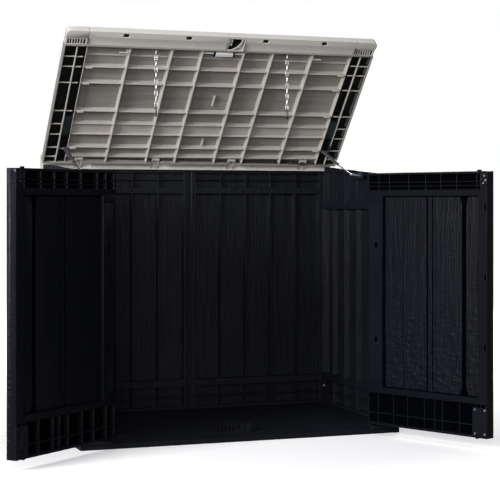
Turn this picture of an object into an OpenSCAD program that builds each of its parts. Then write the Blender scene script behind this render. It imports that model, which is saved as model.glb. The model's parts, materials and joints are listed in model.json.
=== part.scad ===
// Garden storage box with two front doors and a lid that lifts on two gas struts.
// Millimetres, +Z up, +X to the right, +Y to the back.
// The origin is the middle of the base tray on the ground.
// The doors and the lid are drawn open, as the box stands while it is in use.

/* [Body] */
// Width of the base tray
base_w = 1460; // [1360:10:1560]
// Depth of the base tray
base_d = 810; // [780:10:880]
// Height of the floor above the ground
floor_h = 38; // [34:1:44]
// Height of the tray's front face
sill_h = 21; // [16:1:26]
// Depth of the ramp behind the front face
sill_d = 114; // [90:2:140]
// Height of the side walls at mid depth
wall_h = 1180; // [1080:10:1280]
// Slope of the wall tops and of the closed lid, in degrees
roof_slope = 4; // [3:0.5:5]
// Thickness of the side walls
wall_t = 32; // [28:1:36]
// Step from the tray's edge in to the side walls
wall_inset = 10; // [6:1:14]
// Thickness of the back panels
back_t = 28; // [24:1:32]
// Thickness of a moulded skin
skin_t = 4; // [3.5:0.5:5]
// Thickness of a moulded rib
rib_t = 4; // [3:0.5:5]

/* [Posts] */
// Width of a front post
post_w = 68; // [60:1:76]
// Depth of a front post
post_d = 70; // [62:1:80]

/* [Doors] */
// Thickness of a door
door_t = 46; // [42:1:50]
// Gap between the two closed doors
door_gap = 3; // [2:0.5:8]
// Gap between a door and its post
post_gap = 5; // [4:0.5:7]
// Step of the doors in front of the tray
door_proud = 2; // [0:0.5:4]
// Gap under the doors, above the ground
door_z = 46; // [44:1:50]
// Distance of the hinge pin from the door's hinge end
pin_from_end = 24.5; // [20:0.5:28]
// Distance of the hinge pin from the door's outer face
pin_from_face = 9.5; // [8:0.5:11]
// Diameter of the door's hinge pins
door_pin_d = 8; // [6:0.5:10]
// Opening of the left door, in degrees
left_open = 141; // [0:1:145]
// Opening of the right door, in degrees
right_open = 115; // [0:1:145]
// Width of the hinge stile
hinge_stile_w = 85; // [76:1:92]
// Width of the free stile
free_stile_w = 44; // [38:1:50]
// Height of the lower rail above the door's foot
low_rail_z = 142; // [120:2:160]
// Distance of the upper rail's top below the door's top
top_rail_z = 78; // [66:2:90]
// Height of a rail
rail_h = 24; // [18:1:30]
// Depth of the plank faces behind the door's inner face
plank_in = 22; // [18:0.5:23]

/* [Lid] */
// Thickness of the lid from its rim to its top
lid_t = 41; // [38:1:46]
// Height of the lid's hinge pin above the rim
lid_pin_up = 23; // [21:1:25]
// Distance of the lid's hinge pin in front of the tray's back edge
lid_pin_in = 87.5; // [82:0.5:95]
// Gap between the closed lid's rim and the walls
lid_gap = 7; // [6:0.5:9]
// Overhang of the closed lid's rim in front of the tray
lid_front = 3; // [2:0.5:6]
// Width of the lid's rim beyond the side walls
lid_side = 11; // [9:0.5:14]
// Bevel of the lid's edges
lid_bevel = 7; // [4:0.5:9]
// Slope of the open lid, in degrees
lid_open = 48.5; // [40:0.5:50]
// Thickness of the lid's top skin
lid_skin = 4; // [3:0.5:5]
// Depth of the front rail
rail_d = 70; // [66:1:78]
// Width of the front rail's outer face
lip_d = 36; // [32:1:38]
// Step from the front rail's outer face up to its inner face
lip_step = 8; // [6:0.5:9]
// Length of a corner cap
cap_l = 100; // [90:2:112]
// Diameter of the lid's hinge pins
lid_pin_d = 8; // [6:0.5:9]

/* [Rear bar] */
// Depth of the bar behind the lid
bar_d = 65; // [60:1:72]
// Height of the bar
bar_h = 66; // [60:1:72]

/* [Gas struts] */
// Distance of a strut from the inside of the side wall
strut_in = 46; // [43:1:47]
// Distance of the lid's ball stud from the hinge pin, along the lid
stud_u = 75; // [70:1:80]
// Distance of the lid's ball stud below the hinge pin
stud_w = 20; // [18:1:22]
// Place of the wall's ball stud in front of mid depth
wall_stud_y = 85; // [75:1:95]
// Height of the wall's ball stud below the wall's top
wall_stud_z = 20; // [17:1:24]
// Diameter of a strut's tube
tube_d = 16; // [14:1:18]
// Diameter of a strut's rod
rod_d = 8; // [6:0.5:10]
// Length of a strut's tube
tube_l = 190; // [180:1:210]

/* [Chains] */
// Distance of a chain from the middle of the box
chain_x = 312; // [300:1:330]
// Distance of a chain's hook behind the lid's front edge
chain_in = 95; // [88:1:110]
// Number of links in a chain
links = 10; // [6:1:12]
// Wire of a link
wire_d = 3; // [2.5:0.1:3.2]
// Outer length of a link
link_l = 32; // [30:1:36]
// Outer width of a link
link_w = 13.5; // [13:0.5:15]

/* [Hidden] */
$fn = 48;
pin_clear = 0.05;
touch = 0.3;

half_w = base_w / 2;
half_d = base_d / 2;
wall_x = half_w - wall_inset;
wall_in = wall_x - wall_t;
edge_gap = 3;
wall_back = half_d - edge_gap;
back_y = wall_back - back_t;
post_x = wall_x - post_w;
post_front = -half_d + edge_gap;
post_back = post_front + post_d;
function wall_top(y) = wall_h + y * tan(roof_slope);

// The lid's hinge pin, and the lid's length from it to the front edge of its top
pin_y = half_d - lid_pin_in;
pin_z = wall_top(pin_y) + lid_gap + lid_pin_up / cos(roof_slope);
lid_top = lid_t - lid_pin_up;
lid_l = (pin_y + half_d + lid_front + lid_pin_up * sin(roof_slope)) / cos(roof_slope) - lid_bevel;
lid_x = wall_x + lid_side;
lid_tail = 14;
cap_x = lid_x - cap_l;

// The doors, seen closed: x runs from the hinge pin to the outside, y to the inside
door_w = post_x - post_gap - door_gap / 2;
door_pin_x = door_gap / 2 + door_w - pin_from_end;
door_pin_y = -half_d - door_proud + pin_from_face;
door_top = wall_top(-half_d - door_proud) + lid_gap - 1;
door_end = pin_from_end;
door_free = pin_from_end - door_w;
door_out = -pin_from_face;
door_in = door_t - pin_from_face;
shell_in = 10;
post_top = wall_top(post_front);
door_arm_t = 4.5;
door_arm_w = 16;
notch_l = 40;
stile_x = door_end - hinge_stile_w;
free_x = door_free + free_stile_w;
low_z = door_z + low_rail_z;
high_z = door_top - top_rail_z;
plank_y = door_in - plank_in;
plank_z = [low_z + rail_h, high_z - rail_h];
door_wall = 8;
// Joints between the planks and the ribs above and below them, as parts of the door's
// width from its hinge end
plank_joints = [0.323, 0.527, 0.583];
wide_joint = [0.81, 0.847];
joint_w = 3;
joint_in = 2.5;
grooves = [0.16, 0.323, 0.49, 0.66, 0.83];
groove_w = 5;
low_ribs = [0.097, 0.23, 0.351, 0.493, 0.579, 0.642, 0.782, 0.913];
high_ribs = [0.101, 0.193, 0.36, 0.503, 0.627, 0.758, 0.918];
strip_in = 4;
strip_w = 60;
strip_end = 30;
plate_in = 3;
plate_w = 75;
plate_h = 120;
cap_w = 34;
cap_h = 60;

// The rear bar and the lid's hinges on it
bar_back = half_d + 5;
bar_front = bar_back - bar_d;
bar_top = pin_z + lid_top;
bar_z = bar_top - bar_h;
bar_edge = 8;
hinge_in = 160;
hinge_mid = 190;
hinge_xs = [hinge_in - wall_x, -hinge_mid, hinge_mid, wall_x - hinge_in];
arm_t = 6;
arm_d = 18;
lug_w = 24;
lug_d = 16;

// The gas struts: the lid's stud at rest and the wall's stud, in the strut's own plane
strut_x = wall_in - strut_in;
stud_y = pin_y - stud_u * cos(lid_open) - stud_w * sin(lid_open);
stud_z = pin_z + stud_u * sin(lid_open) - stud_w * cos(lid_open);
foot_y = -wall_stud_y;
foot_z = wall_top(foot_y) - wall_stud_z;
strut_l = norm([stud_y - foot_y, stud_z - foot_z]);
strut_a = atan2(stud_z - foot_z, stud_y - foot_y);
stud_d = 8;
stud_head = 2;
stud_gap = 0.5;
rod_short = 62;
neck_l = 22;
neck_d = 12;
tube_end = 6;
tube_wall = 24;
fit_d = 15;
fit_w = 13;
eye_w = tube_d + 1;
plate_t = 4;
pad_t = 14;

// The chains
hook_gap = 0.35;
hook_d = link_w - 2 * wire_d - 2 * hook_gap;
clip_l = 46;
clip_w = 22;
clip_wire = 4.5;
link_r = (link_w - wire_d) / 2;
pitch = link_l - 2 * wire_d - touch;
hook_drop = 14;
hook_u = lid_l - chain_in;
hook_w = lid_skin - lid_top + hook_drop;
hook_y = pin_y - hook_u * cos(lid_open) - hook_w * sin(lid_open);
hook_z = pin_z + hook_u * sin(lid_open) - hook_w * cos(lid_open);

// Extrudes an outline drawn in Y and Z along X, from x to x + t
module yz(x, t) {
    translate([x, 0, 0]) rotate([90, 0, 90]) linear_extrude(t) children();
}

// Extrudes an outline drawn in X and Z along Y, from y to y + t
module xz(y, t) {
    translate([0, y + t, 0]) rotate([90, 0, 0]) linear_extrude(t) children();
}

// A box given by its lowest and highest corner
module box(a, b) {
    translate(a) cube(b - a);
}

// A rectangle given by its lowest and highest corner
module area(a, b) {
    translate(a) square(b - a);
}

// A cylinder along X, centred on x
module rod_x(x, l, d) {
    translate([x - l / 2, 0, 0]) rotate([0, 90, 0]) cylinder(h = l, d = d);
}

// Draws its children on the right, and mirrored on the left for side -1
module on_side(side) {
    if (side > 0) children();
    else mirror([1, 0, 0]) children();
}

// Puts a part of the lid where the open lid is: y runs back from the hinge pin, z up from it
module on_lid() {
    translate([0, pin_y, pin_z]) rotate([-lid_open, 0, 0]) children();
}

// Puts a part of a closed right-hand door on its pin and swings it open
module on_door(side) {
    open = side > 0 ? right_open : left_open;
    on_side(side) translate([door_pin_x, door_pin_y, 0]) rotate([0, 0, open]) children();
}

// Puts a part drawn along +Y from the wall's stud on the strut's line
module on_strut(side) {
    on_side(side) translate([strut_x, foot_y, foot_z]) rotate([strut_a, 0, 0]) children();
}

// A cross-recessed screw head that looks towards -Z, on the plane z = 0
module screw_head(d, h) {
    long = d * 0.3;
    wide = d * 0.07;
    difference() {
        translate([0, 0, -h]) cylinder(h = h, d1 = d * 0.7, d2 = d, $fn = 24);
        for (a = [0, 90]) rotate([0, 0, a]) box([-long, -wide, -h - 1], [long, wide, -h * 0.4]);
    }
}

// An upright V-shaped groove at the origin, between two heights
module groove(z0, z1) {
    rotate([0, 0, 45]) box([-groove_w / 2, -groove_w / 2, z0], [groove_w / 2, groove_w / 2, z1]);
}

// Base tray
edge = 6;
front_wall = 14;
cols = 12;
rows = 6;
pad_x = door_pin_x - 26.5;
pad_back = post_back + 12;
boss_d = 16;
pin_depth = 32;
kerb_h = 8;

function ramp_z(y) = sill_h + (floor_h - sill_h) * (y + half_d) / sill_d;

module base_tray() {
    bay_w = (base_w - 2 * edge + rib_t) / cols;
    bay_d = (base_d - sill_d - edge + rib_t) / rows;
    color("#1c1e26") difference() {
        union() {
            yz(-half_w, base_w) polygon([[-half_d, 0], [half_d, 0], [half_d, floor_h],
                [-half_d + sill_d, floor_h], [-half_d, sill_h]]);
            // Pads that carry the posts and the doors' lower pins
            for (s = [-1, 1]) on_side(s) {
                box([pad_x, -half_d, 0], [half_w, pad_back, floor_h]);
                translate([door_pin_x, door_pin_y, 0]) cylinder(h = door_z - 1, d = boss_d);
            }
            // Low kerb along the sides
            for (s = [-1, 1]) on_side(s)
                box([wall_x + 1, post_back, floor_h], [half_w - 2, half_d - 2, floor_h + kerb_h]);
        }
        for (i = [0 : cols - 1]) {
            x0 = -half_w + edge + i * bay_w;
            x1 = x0 + bay_w - rib_t;
            // Cells under the floor
            for (j = [0 : rows - 1]) {
                y1 = half_d - edge - j * bay_d;
                box([x0, y1 - bay_d + rib_t, -1], [x1, y1, floor_h - skin_t]);
            }
            // Cells under the ramp
            box([x0, -half_d + front_wall, -1], [x1, -half_d + sill_d - rib_t, sill_h - skin_t]);
        }
        for (s = [-1, 1]) on_side(s) translate([door_pin_x, door_pin_y, door_z - 1 - pin_depth])
            cylinder(h = pin_depth + 1, d = door_pin_d + 2 * pin_clear);
    }
}

// Stop that the closed doors meet, with webs on its front and a tongue with a hole
stop_y = door_pin_y + door_in + 3;
stop_x = [-104, 40];
stop_w = 24;
stop_h = 32;
stop_bays = 4;
stop_bay = 17;
stop_gap = [-30, -10];
stop_hole = [14, 18];
module door_stop() {
    top = floor_h + stop_h;
    color("#24262e") difference() {
        yz(stop_x[0], stop_x[1] - stop_x[0]) polygon([[stop_y, ramp_z(stop_y)],
            [stop_y + stop_w, ramp_z(stop_y + stop_w)], [stop_y + stop_w, top], [stop_y, top]]);
        for (i = [0 : stop_bays - 1]) {
            x = stop_x[0] + rib_t + stop_bay * i;
            box([x, stop_y - 1, floor_h + 4], [x + stop_bay - rib_t, stop_y + 0.75 * stop_w, top + 1]);
        }
        box([stop_gap[0], stop_y - 1, floor_h + 12], [stop_gap[1], stop_y + stop_w + 1, top + 1]);
        translate([stop_hole[0], stop_y - 1, floor_h + stop_hole[1]]) rotate([-90, 0, 0])
            cylinder(h = stop_w + 2, d = 12);
    }
}

// Side walls
wall_frame = 24;
wall_cols = 5;
wall_foot = floor_h;
sole_h = 12;
rail_drop = 30;
wall_head = 14;

module wall_outline() {
    polygon([[post_back + touch, wall_foot], [wall_back, wall_foot], [wall_back, bar_z - touch],
        [bar_front - touch, bar_z - touch], [bar_front - touch, wall_top(bar_front)],
        [post_back + touch, wall_top(post_back)]]);
}

module wall(side) {
    y0 = post_back + wall_frame;
    y1 = wall_back - wall_frame;
    bay = (y1 - y0 + rib_t) / wall_cols;
    low = low_z - rail_drop;
    high = high_z - rail_drop;
    mid = (wall_foot + sole_h + low) / 2;
    color("#1a1c24") on_side(side) difference() {
        yz(wall_in, wall_t) wall_outline();
        for (i = [0 : wall_cols - 1]) {
            a = y0 + i * bay;
            b = a + bay - rib_t;
            // Ribbed bays at the foot, plank faces in the middle, ribbed bays at the top
            box([wall_in - 1, a, wall_foot + sole_h], [wall_x - skin_t, b, mid - rib_t / 2]);
            box([wall_in - 1, a, mid + rib_t / 2], [wall_x - skin_t, b, low]);
            box([wall_in - 1, a, low + rail_h], [wall_x - skin_t, b, high - rail_h]);
            box([wall_in - 1, a, high], [wall_x - skin_t, b, wall_top(a) - wall_head]);
        }
        // Grooves between the planks outside
        for (i = [0 : wall_cols])
            translate([wall_x, y0 + i * bay - rib_t / 2, 0]) groove(wall_foot + 60, high_z - 20);
    }
}

module wall_left() { wall(-1); }
module wall_right() { wall(1); }

// Front posts: their inner front edge is cut back, clear of the open door
post_cut = 28;
web_t = 10;
webs = 4;

// Outline of a post, drawn in by a distance all round but at its open back
module post_outline(in) {
    corner = post_cut + in * tan(22.5);
    polygon([[post_x + in, post_front + corner], [post_x + corner, post_front + in],
        [wall_x - in, post_front + in], [wall_x - in, post_back], [post_x + in, post_back]]);
}

module post(side) {
    color("#1a1c24") on_side(side) difference() {
        union() {
            translate([0, 0, floor_h]) linear_extrude(post_top - floor_h) difference() {
                post_outline(0);
                post_outline(skin_t);
                translate([0, 1]) post_outline(skin_t);
            }
            // Web plates inside the post
            for (i = [0 : webs]) translate([0, 0, floor_h + i * (post_top - floor_h - web_t) / webs])
                linear_extrude(web_t) post_outline(2);
        }
        // Groove beside the wall
        box([wall_x - 2, post_back - 8, floor_h + 60], [wall_x + 1, post_back - 4, post_top - 60]);
    }
}

module post_left() { post(-1); }
module post_right() { post(1); }

// Back panels
back_cols = 5;
back_frame = 14;
seam_w = 26;

// Bottoms and tops of the back's bays: two ribbed rows, the planks and two ribbed rows
back_rows = [[floor_h + 12, floor_h + 58], [floor_h + 62, floor_h + 112], [floor_h + 138, bar_z - 110],
    [bar_z - 84, bar_z - 48], [bar_z - 44, bar_z - 12]];

module back(side) {
    x0 = seam_w / 2 + touch;
    x1 = wall_in - touch;
    a0 = x0 + back_frame;
    bay = (x1 - back_frame - a0 + rib_t) / back_cols;
    color("#181a22") on_side(side) difference() {
        box([x0, back_y, floor_h], [x1, wall_back, bar_z - touch]);
        for (i = [0 : back_cols - 1]) {
            a = a0 + i * bay;
            for (z = back_rows) box([a, back_y - 1, z[0]], [a + bay - rib_t, wall_back - skin_t, z[1]]);
        }
        for (i = [0 : back_cols])
            translate([a0 + i * bay - rib_t / 2, wall_back, 0]) groove(floor_h + 60, bar_z - 40);
    }
}

module back_left() { back(-1); }
module back_right() { back(1); }

// Upright between the two back panels
module back_seam() {
    color("#181a22") difference() {
        box([-seam_w / 2, back_y - 4, floor_h], [seam_w / 2, wall_back + 2, bar_z - touch]);
        box([skin_t - seam_w / 2, back_y - 5, floor_h + 20], [seam_w / 2 - skin_t, back_y + 8, bar_z - 20]);
    }
}

// Rear bar behind the lid, light as the lid, with louvres along its front
bar_bays = 6;
louvres = 3;
louvre_h = 6;
louvre_in = 2.5;

module bar_outline(in) {
    corner = bar_edge + in / 2;
    polygon([[bar_front + in, bar_z], [bar_back - in, bar_z], [bar_back - in, bar_top - corner],
        [bar_back - corner, bar_top - in], [bar_front + in, bar_top - in]]);
}

module rear_bar() {
    color("#b9b5ae") difference() {
        union() {
            yz(-wall_x, 2 * wall_x) difference() {
                bar_outline(0);
                bar_outline(skin_t);
                translate([0, -1]) bar_outline(skin_t);
            }
            for (i = [0 : bar_bays]) {
                x = (i / bar_bays - 0.5) * (2 * wall_x - skin_t);
                foot = i == 0 || i == bar_bays ? bar_z : bar_z + 2 * louvre_h;
                box([x - skin_t / 2, bar_front + 1, foot],
                    [x + skin_t / 2, bar_back - 1, bar_top - bar_edge]);
            }
        }
        for (k = [0 : louvres - 1]) {
            z = bar_z + 8 + 2 * louvre_h * k;
            box([60 - wall_x, bar_front - 1, z], [wall_x - 60, bar_front + louvre_in, z + louvre_h]);
        }
    }
}

// Screws that hold the bar on the back panels
bar_screws = 6;
module rear_bar_screws() {
    step = 2 * wall_x / bar_screws;
    color("#c9ccd0") for (i = [1 : bar_screws])
        translate([(i - 0.5) * step - wall_x, bar_back, bar_z + 12]) rotate([90, 0, 0]) screw_head(12, 3);
}

// Angle brackets that tie the posts and walls to the tray
angle_w = 40;
angle_h = 150;
angle_foot = 36;
angle_gap = 14;
angle_hole = 7;
angle_ys = [post_back + angle_gap, back_y - angle_gap - angle_w];
module corner_brackets() {
    x = wall_in - plate_t;
    color("#2a2c33") for (s = [-1, 1], y = angle_ys) on_side(s) difference() {
        union() {
            box([x, y, floor_h], [wall_in, y + angle_w, floor_h + angle_h]);
            box([wall_in - angle_foot, y, floor_h], [x, y + angle_w, floor_h + plate_t]);
        }
        for (z = [0.4, 0.8]) translate([x, y + angle_w / 2, floor_h + z * angle_h])
            rod_x(0, 4 * plate_t, angle_hole);
    }
}

// Arms on the posts that hold the doors' upper pins
arm_reach = 72;
arm_pad = 22;
arm_back = 40;
module door_arms() {
    color("#2a2c33") for (s = [-1, 1])
        on_side(s) translate([door_pin_x, door_pin_y, post_top]) difference() {
            linear_extrude(door_arm_t) {
                circle(d = door_arm_w);
                area([0, -door_arm_w / 2], [arm_reach, door_arm_w / 2]);
                area([arm_reach - arm_pad, -door_arm_w / 2], [arm_reach, arm_back]);
            }
            translate([0, 0, -1]) cylinder(h = door_arm_t + 2, d = door_pin_d + 2 * pin_clear);
        }
}

// Pins that the doors turn on
module door_pins() {
    color("#b9bcc2") for (s = [-1, 1]) on_side(s) translate([door_pin_x, door_pin_y, 0]) {
        translate([0, 0, door_z - pin_depth]) cylinder(h = 2 * pin_depth + web_t, d = door_pin_d);
        translate([0, 0, post_top - pin_depth]) cylinder(h = pin_depth + door_arm_t, d = door_pin_d);
    }
}

// Screws in the walls and in the arms of the posts
module wall_screws() {
    color("#c9ccd0") for (s = [-1, 1]) on_side(s) {
        for (y = [6, arm_back - 12])
            translate([door_pin_x + arm_reach - arm_pad / 2, door_pin_y + y, post_top + door_arm_t])
                cylinder(h = 1.5, d = 9);
        for (y = angle_ys) translate([wall_in - plate_t, y + angle_w / 2, floor_h + 0.6 * angle_h])
            rotate([0, 90, 0]) screw_head(11, 3);
    }
}

// Arms on the rear bar that hold the lid's hinge pins, two for each hinge
module lid_hinge_arms() {
    root = bar_front - pin_y;
    color("#a5a29b") for (x = hinge_xs, s = [-1, 1])
        translate([x + s * (lug_w + arm_t) / 2, pin_y, pin_z]) difference() {
            yz(-arm_t / 2, arm_t) {
                circle(d = arm_d);
                polygon([[-arm_d / 3, -0.36 * arm_d], [0.44 * arm_d, 0.22 * arm_d], [root, -0.67 * arm_d],
                    [root, bar_z - pin_z + 4], [0.44 * arm_d, -1.1 * arm_d]]);
            }
            rod_x(0, arm_t + 2, lid_pin_d + 2 * pin_clear);
        }
}

module lid_hinge_pins() {
    color("#b9bcc2") for (x = hinge_xs)
        translate([x, pin_y, pin_z]) rod_x(0, lug_w + 2 * arm_t + 4, lid_pin_d);
}

// Plates on the walls for the struts' lower studs
wall_plate_l = 148;
wall_plate_in = 28;
module strut_plate(side) {
    color("#26343a") on_side(side) translate([wall_in, foot_y - wall_plate_in, foot_z]) difference() {
        union() {
            yz(-plate_t, plate_t) polygon([[0, -16], [wall_plate_l, -8], [wall_plate_l, 14], [0, 14]]);
            yz(-pad_t, pad_t - plate_t)
                polygon([[0, -12], [2 * wall_plate_in, -12], [1.6 * wall_plate_in, 10], [0, 10]]);
        }
        for (y = [78, wall_plate_l - 16]) translate([0, y, 0]) rod_x(0, 3 * plate_t, 6);
    }
}

module strut_plate_left() { strut_plate(-1); }
module strut_plate_right() { strut_plate(1); }

// Studs that the struts turn on, with a head inside each strut's end
module wall_studs() {
    start = -fit_w / 2 - stud_head;
    reach = strut_in - pad_t - start;
    color("#b9bcc2") for (s = [-1, 1]) on_side(s) translate([strut_x, foot_y, foot_z]) rotate([0, 90, 0]) {
        translate([0, 0, start]) cylinder(h = reach, d = stud_d);
        translate([0, 0, start]) cylinder(h = stud_head - touch, d = stud_d + 4);
        translate([0, 0, fit_w / 2 + touch]) cylinder(h = 2 * stud_head, d = stud_d + 5);
    }
}

// Doors: an outer shell and an inner frame
module door_bores() {
    depth = pin_depth + 14;
    for (z = [door_z - 1, post_top - depth])
        translate([0, 0, z]) cylinder(h = depth + 1, d = door_pin_d + 2 * pin_clear);
}

function door_x(part) = door_end - part * door_w;
function slot_z(part) = plank_z[0] + part * (plank_z[1] - plank_z[0]);
pin_block_w = 16;
pin_block_h = 60;

module door_shell(side) {
    color("#16181f") on_door(side) difference() {
        box([door_free, door_out, door_z], [door_end, shell_in, door_top]);
        difference() {
            box([door_free + door_wall, door_out + skin_t, door_z + door_wall],
                [door_end - door_wall, shell_in + 1, door_top - door_wall]);
            // Blocks round the pins, and ribs
            for (z = [door_z, door_top - pin_block_h])
                box([-pin_block_w, door_out, z], [door_end, shell_in + 2, z + pin_block_h]);
            for (p = plank_joints)
                box([door_x(p) - rib_t, door_out, door_z], [door_x(p), shell_in + 2, door_top]);
            for (z = [low_z, plank_z[1]]) box([door_free, door_out, z], [door_end, shell_in + 2, z + rib_t]);
        }
        door_bores();
        // Room for the post's arm
        box([-notch_l, door_out - 1, post_top - 0.5], [door_end + 1, shell_in, door_top + 1]);
        // Grooves between the planks outside
        for (p = grooves) translate([door_x(p), door_out, 0]) groove(door_z + 60, door_top - 60);
    }
}

module door_cells(parts, z0, z1) {
    side = door_wall / door_w;
    xs = concat([side], parts, [1 - side]);
    for (i = [0 : len(xs) - 2])
        box([door_x(xs[i + 1]) + (i == len(xs) - 2 ? 0 : rib_t / 2), plank_y, z0],
            [door_x(xs[i]) - (i == 0 ? 0 : rib_t / 2), door_in + 1, z1]);
}

strip_x = [5 - strip_w, 5];
strip_z = [plank_z[0] + strip_end, plank_z[1] - strip_end];
plate_x = [door_free, door_free + plate_w];
plate_z = [door_z + 7, door_z + 7 + plate_h];
free_slots = [0.25, 0.599, 0.941];
free_ring = 0.496;
strip_slots = [0.25, 0.744];
strip_ring = 0.498;
slot_w = 8;
slot_h = 28;
stile_bays = 6;

// A C-shaped recess that looks along +Y, open towards +X for side 1
module ring_recess(d, inner, side) {
    rotate([-90, 0, 0]) difference() {
        cylinder(h = 10, d = d);
        translate([0, 0, -1]) cylinder(h = 12, d = inner);
        translate([side * 2, -d / 2 - 1, -1]) cube([d, d + 2, 12]);
    }
}

module door_frame(side) {
    rib_low = door_z + 52;
    rib_high = door_top - 43;
    color("#1a1c24") on_door(side) difference() {
        box([door_free, shell_in, door_z], [door_end, door_in, door_top]);
        // Planks, with their joints
        box([free_x, plank_y, plank_z[0]], [stile_x, door_in + 1, plank_z[1]]);
        for (p = plank_joints)
            box([door_x(p) - joint_w / 2, plank_y - joint_in, plank_z[0]],
                [door_x(p) + joint_w / 2, plank_y + 1, plank_z[1]]);
        box([door_x(wide_joint[1]), plank_y - joint_in, plank_z[0] + 14],
            [door_x(wide_joint[0]), plank_y + 1, plank_z[1] - 14]);
        // Ribbed bays below and above the planks
        door_cells(low_ribs, door_z + door_wall, rib_low - rib_t / 2);
        door_cells(low_ribs, rib_low + rib_t / 2, low_z);
        door_cells(high_ribs, high_z, rib_high - rib_t / 2);
        door_cells(high_ribs, rib_high + rib_t / 2, door_top - door_wall);
        // Hollows behind the stiles
        for (i = [0 : stile_bays - 1]) {
            bay = (plank_z[1] - low_z) / stile_bays;
            z0 = low_z + rail_h / 2 + i * bay;
            box([stile_x + 5, shell_in - 1, z0], [door_end - 5, door_in - strip_in - 4, z0 + bay - rib_t]);
            box([door_free + 5, shell_in - 1, z0], [free_x - 5, door_in - 12, z0 + bay - rib_t]);
        }
        // Seats for the strip, the plate and the cap
        box([strip_x[0], door_in - strip_in, strip_z[0]], [strip_x[1], door_in + 1, strip_z[1]]);
        box([plate_x[0] - 1, door_in - plate_in, plate_z[0]], [plate_x[1], door_in + 1, plate_z[1]]);
        box([door_free - 1, shell_in - 1, door_top - cap_h], [door_free + cap_w, door_in + 1, door_top + 1]);
        // Slots in the free stile
        for (p = free_slots)
            box([door_free + 6, door_in - 8, slot_z(p) - slot_h / 2],
                [door_free + 6 + slot_w, door_in + 1, slot_z(p) + slot_h / 2]);
        translate([door_free + 28, door_in - 8, slot_z(free_ring)]) ring_recess(20, 12, 1);
    }
}

// Cover strip on the hinge stile
module door_strip(side) {
    mid = (strip_x[0] + strip_x[1]) / 2;
    color("#1e2028") on_door(side) difference() {
        box([strip_x[0], door_in - strip_in, strip_z[0]], [strip_x[1], door_in, strip_z[1]]);
        box([strip_x[0] + 8, door_in - 1, strip_z[0] + 10], [strip_x[1] - 8, door_in + 1, strip_z[1] - 10]);
        for (p = strip_slots)
            box([mid - 6, door_in - strip_in - 1, slot_z(p) - 12], [mid + 6, door_in + 1, slot_z(p) + 12]);
        translate([mid, door_in - strip_in - 1, slot_z(strip_ring)]) ring_recess(26, 14, 0);
    }
}

plate_screws = [for (x = [12, plate_w - 13], z = [10, plate_h - 10]) [plate_x[0] + x, plate_z[0] + z]];
cap_screws = [for (p = [[15, 21], [8, 38], [18, 50]]) [door_free + p[0], door_top - p[1]]];

// Plate at the door's lower free corner
module door_plate(side) {
    color("#22242c") on_door(side) difference() {
        box([plate_x[0], door_in - plate_in, plate_z[0]], [plate_x[1], door_in, plate_z[1]]);
        box([plate_x[0] + 24, door_in - plate_in / 2, plate_z[0] + 24],
            [plate_x[1] - 24, door_in + 1, plate_z[1] - 24]);
    }
}

// Cap at the door's upper free corner
module door_cap(side) {
    color("#1e2028") on_door(side) difference() {
        box([door_free, shell_in, door_top - cap_h], [door_free + cap_w, door_in, door_top]);
        for (z = [door_top - 19, door_top - 47])
            box([door_free + 6, door_in - 12, z], [door_free + cap_w - 6, door_in - 3, z + 7]);
        translate([door_free, shell_in, door_top]) rotate([0, 45, 0]) box([-4, -1, -4], [4, door_in, 4]);
    }
}

// Catches that the closed lid and the sill hold
catch_in = 42;
catch_w = 20;
catch_h = 6.5;
bolt_in = 61;
module door_catch(side) {
    top_x = door_free + catch_in - catch_w / 2;
    foot_x = door_free + bolt_in - 6;
    color("#22242c") on_door(side) {
        box([top_x, door_in - 9, door_top], [top_x + catch_w, door_in - 1, door_top + catch_h]);
        box([foot_x, door_in - 22, door_z - 6], [foot_x + 12, door_in - 10, door_z]);
    }
}

module door_screws(side) {
    color("#c9ccd0") on_door(side) for (p = concat(plate_screws, cap_screws))
        translate([p[0], door_in, p[1]]) rotate([90, 0, 0]) screw_head(9, 2);
}

module door_left_shell() { door_shell(-1); }
module door_left_frame() { door_frame(-1); }
module door_left_strip() { door_strip(-1); }
module door_left_plate() { door_plate(-1); }
module door_left_cap() { door_cap(-1); }
module door_left_catch() { door_catch(-1); }
module door_left_screws() { door_screws(-1); }
module door_right_shell() { door_shell(1); }
module door_right_frame() { door_frame(1); }
module door_right_strip() { door_strip(1); }
module door_right_plate() { door_plate(1); }
module door_right_cap() { door_cap(1); }
module door_right_catch() { door_catch(1); }
module door_right_screws() { door_screws(1); }

// Lid: y runs back from the hinge pin, so the front edge of its top lies at -lid_l
rim_z = -lid_pin_up;
rim_t = 5;
skin_z = lid_top - lid_skin;
rail_y = -lid_l + rail_d;
rim_front = -lid_l - lid_bevel;
rib_z = rim_z + 5;
rib_top = skin_z + 1;
low_rib_z = rib_z + 8;
long_ribs = [98, 239, 433];
long_rib_t = 6;
strut_room = 4.5;
edge_rib = lid_x - 59;
side_rib = strut_x - eye_w / 2 - strut_room - rib_t / 2;
// Distances of the ribs across the lid, in front of the hinge pin
cross_ribs = [22, 76, 152, 212, 287, 444, 532];
band = [156, 207];
strip = [128, 142];
short_rib_t = 3;

module lid_profile() {
    polygon([[rim_front, rim_z], [rim_front + lip_d, rim_z], [rim_front + lip_d + 5, rim_z + lip_step],
        [rail_y, rim_z + lip_step], [rail_y, lid_top], [-lid_l, lid_top], [rim_front, lid_top - lid_bevel]]);
}

module lid_profile_hollow() {
    polygon([[rim_front + rim_t, rim_z + rim_t], [rim_front + lip_d - 2, rim_z + rim_t],
        [rim_front + lip_d + 3, rim_z + lip_step + rim_t], [rail_y + 1, rim_z + lip_step + rim_t],
        [rail_y + 1, skin_z - 1], [-lid_l + 2, skin_z - 1], [rim_front + rim_t, lid_top - lid_bevel - 3]]);
}

// A rib under the lid along Y, at x
module long_rib(x, t) {
    box([x - t / 2, rail_y, rib_z], [x + t / 2, lid_tail - 2, rib_top]);
}

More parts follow.
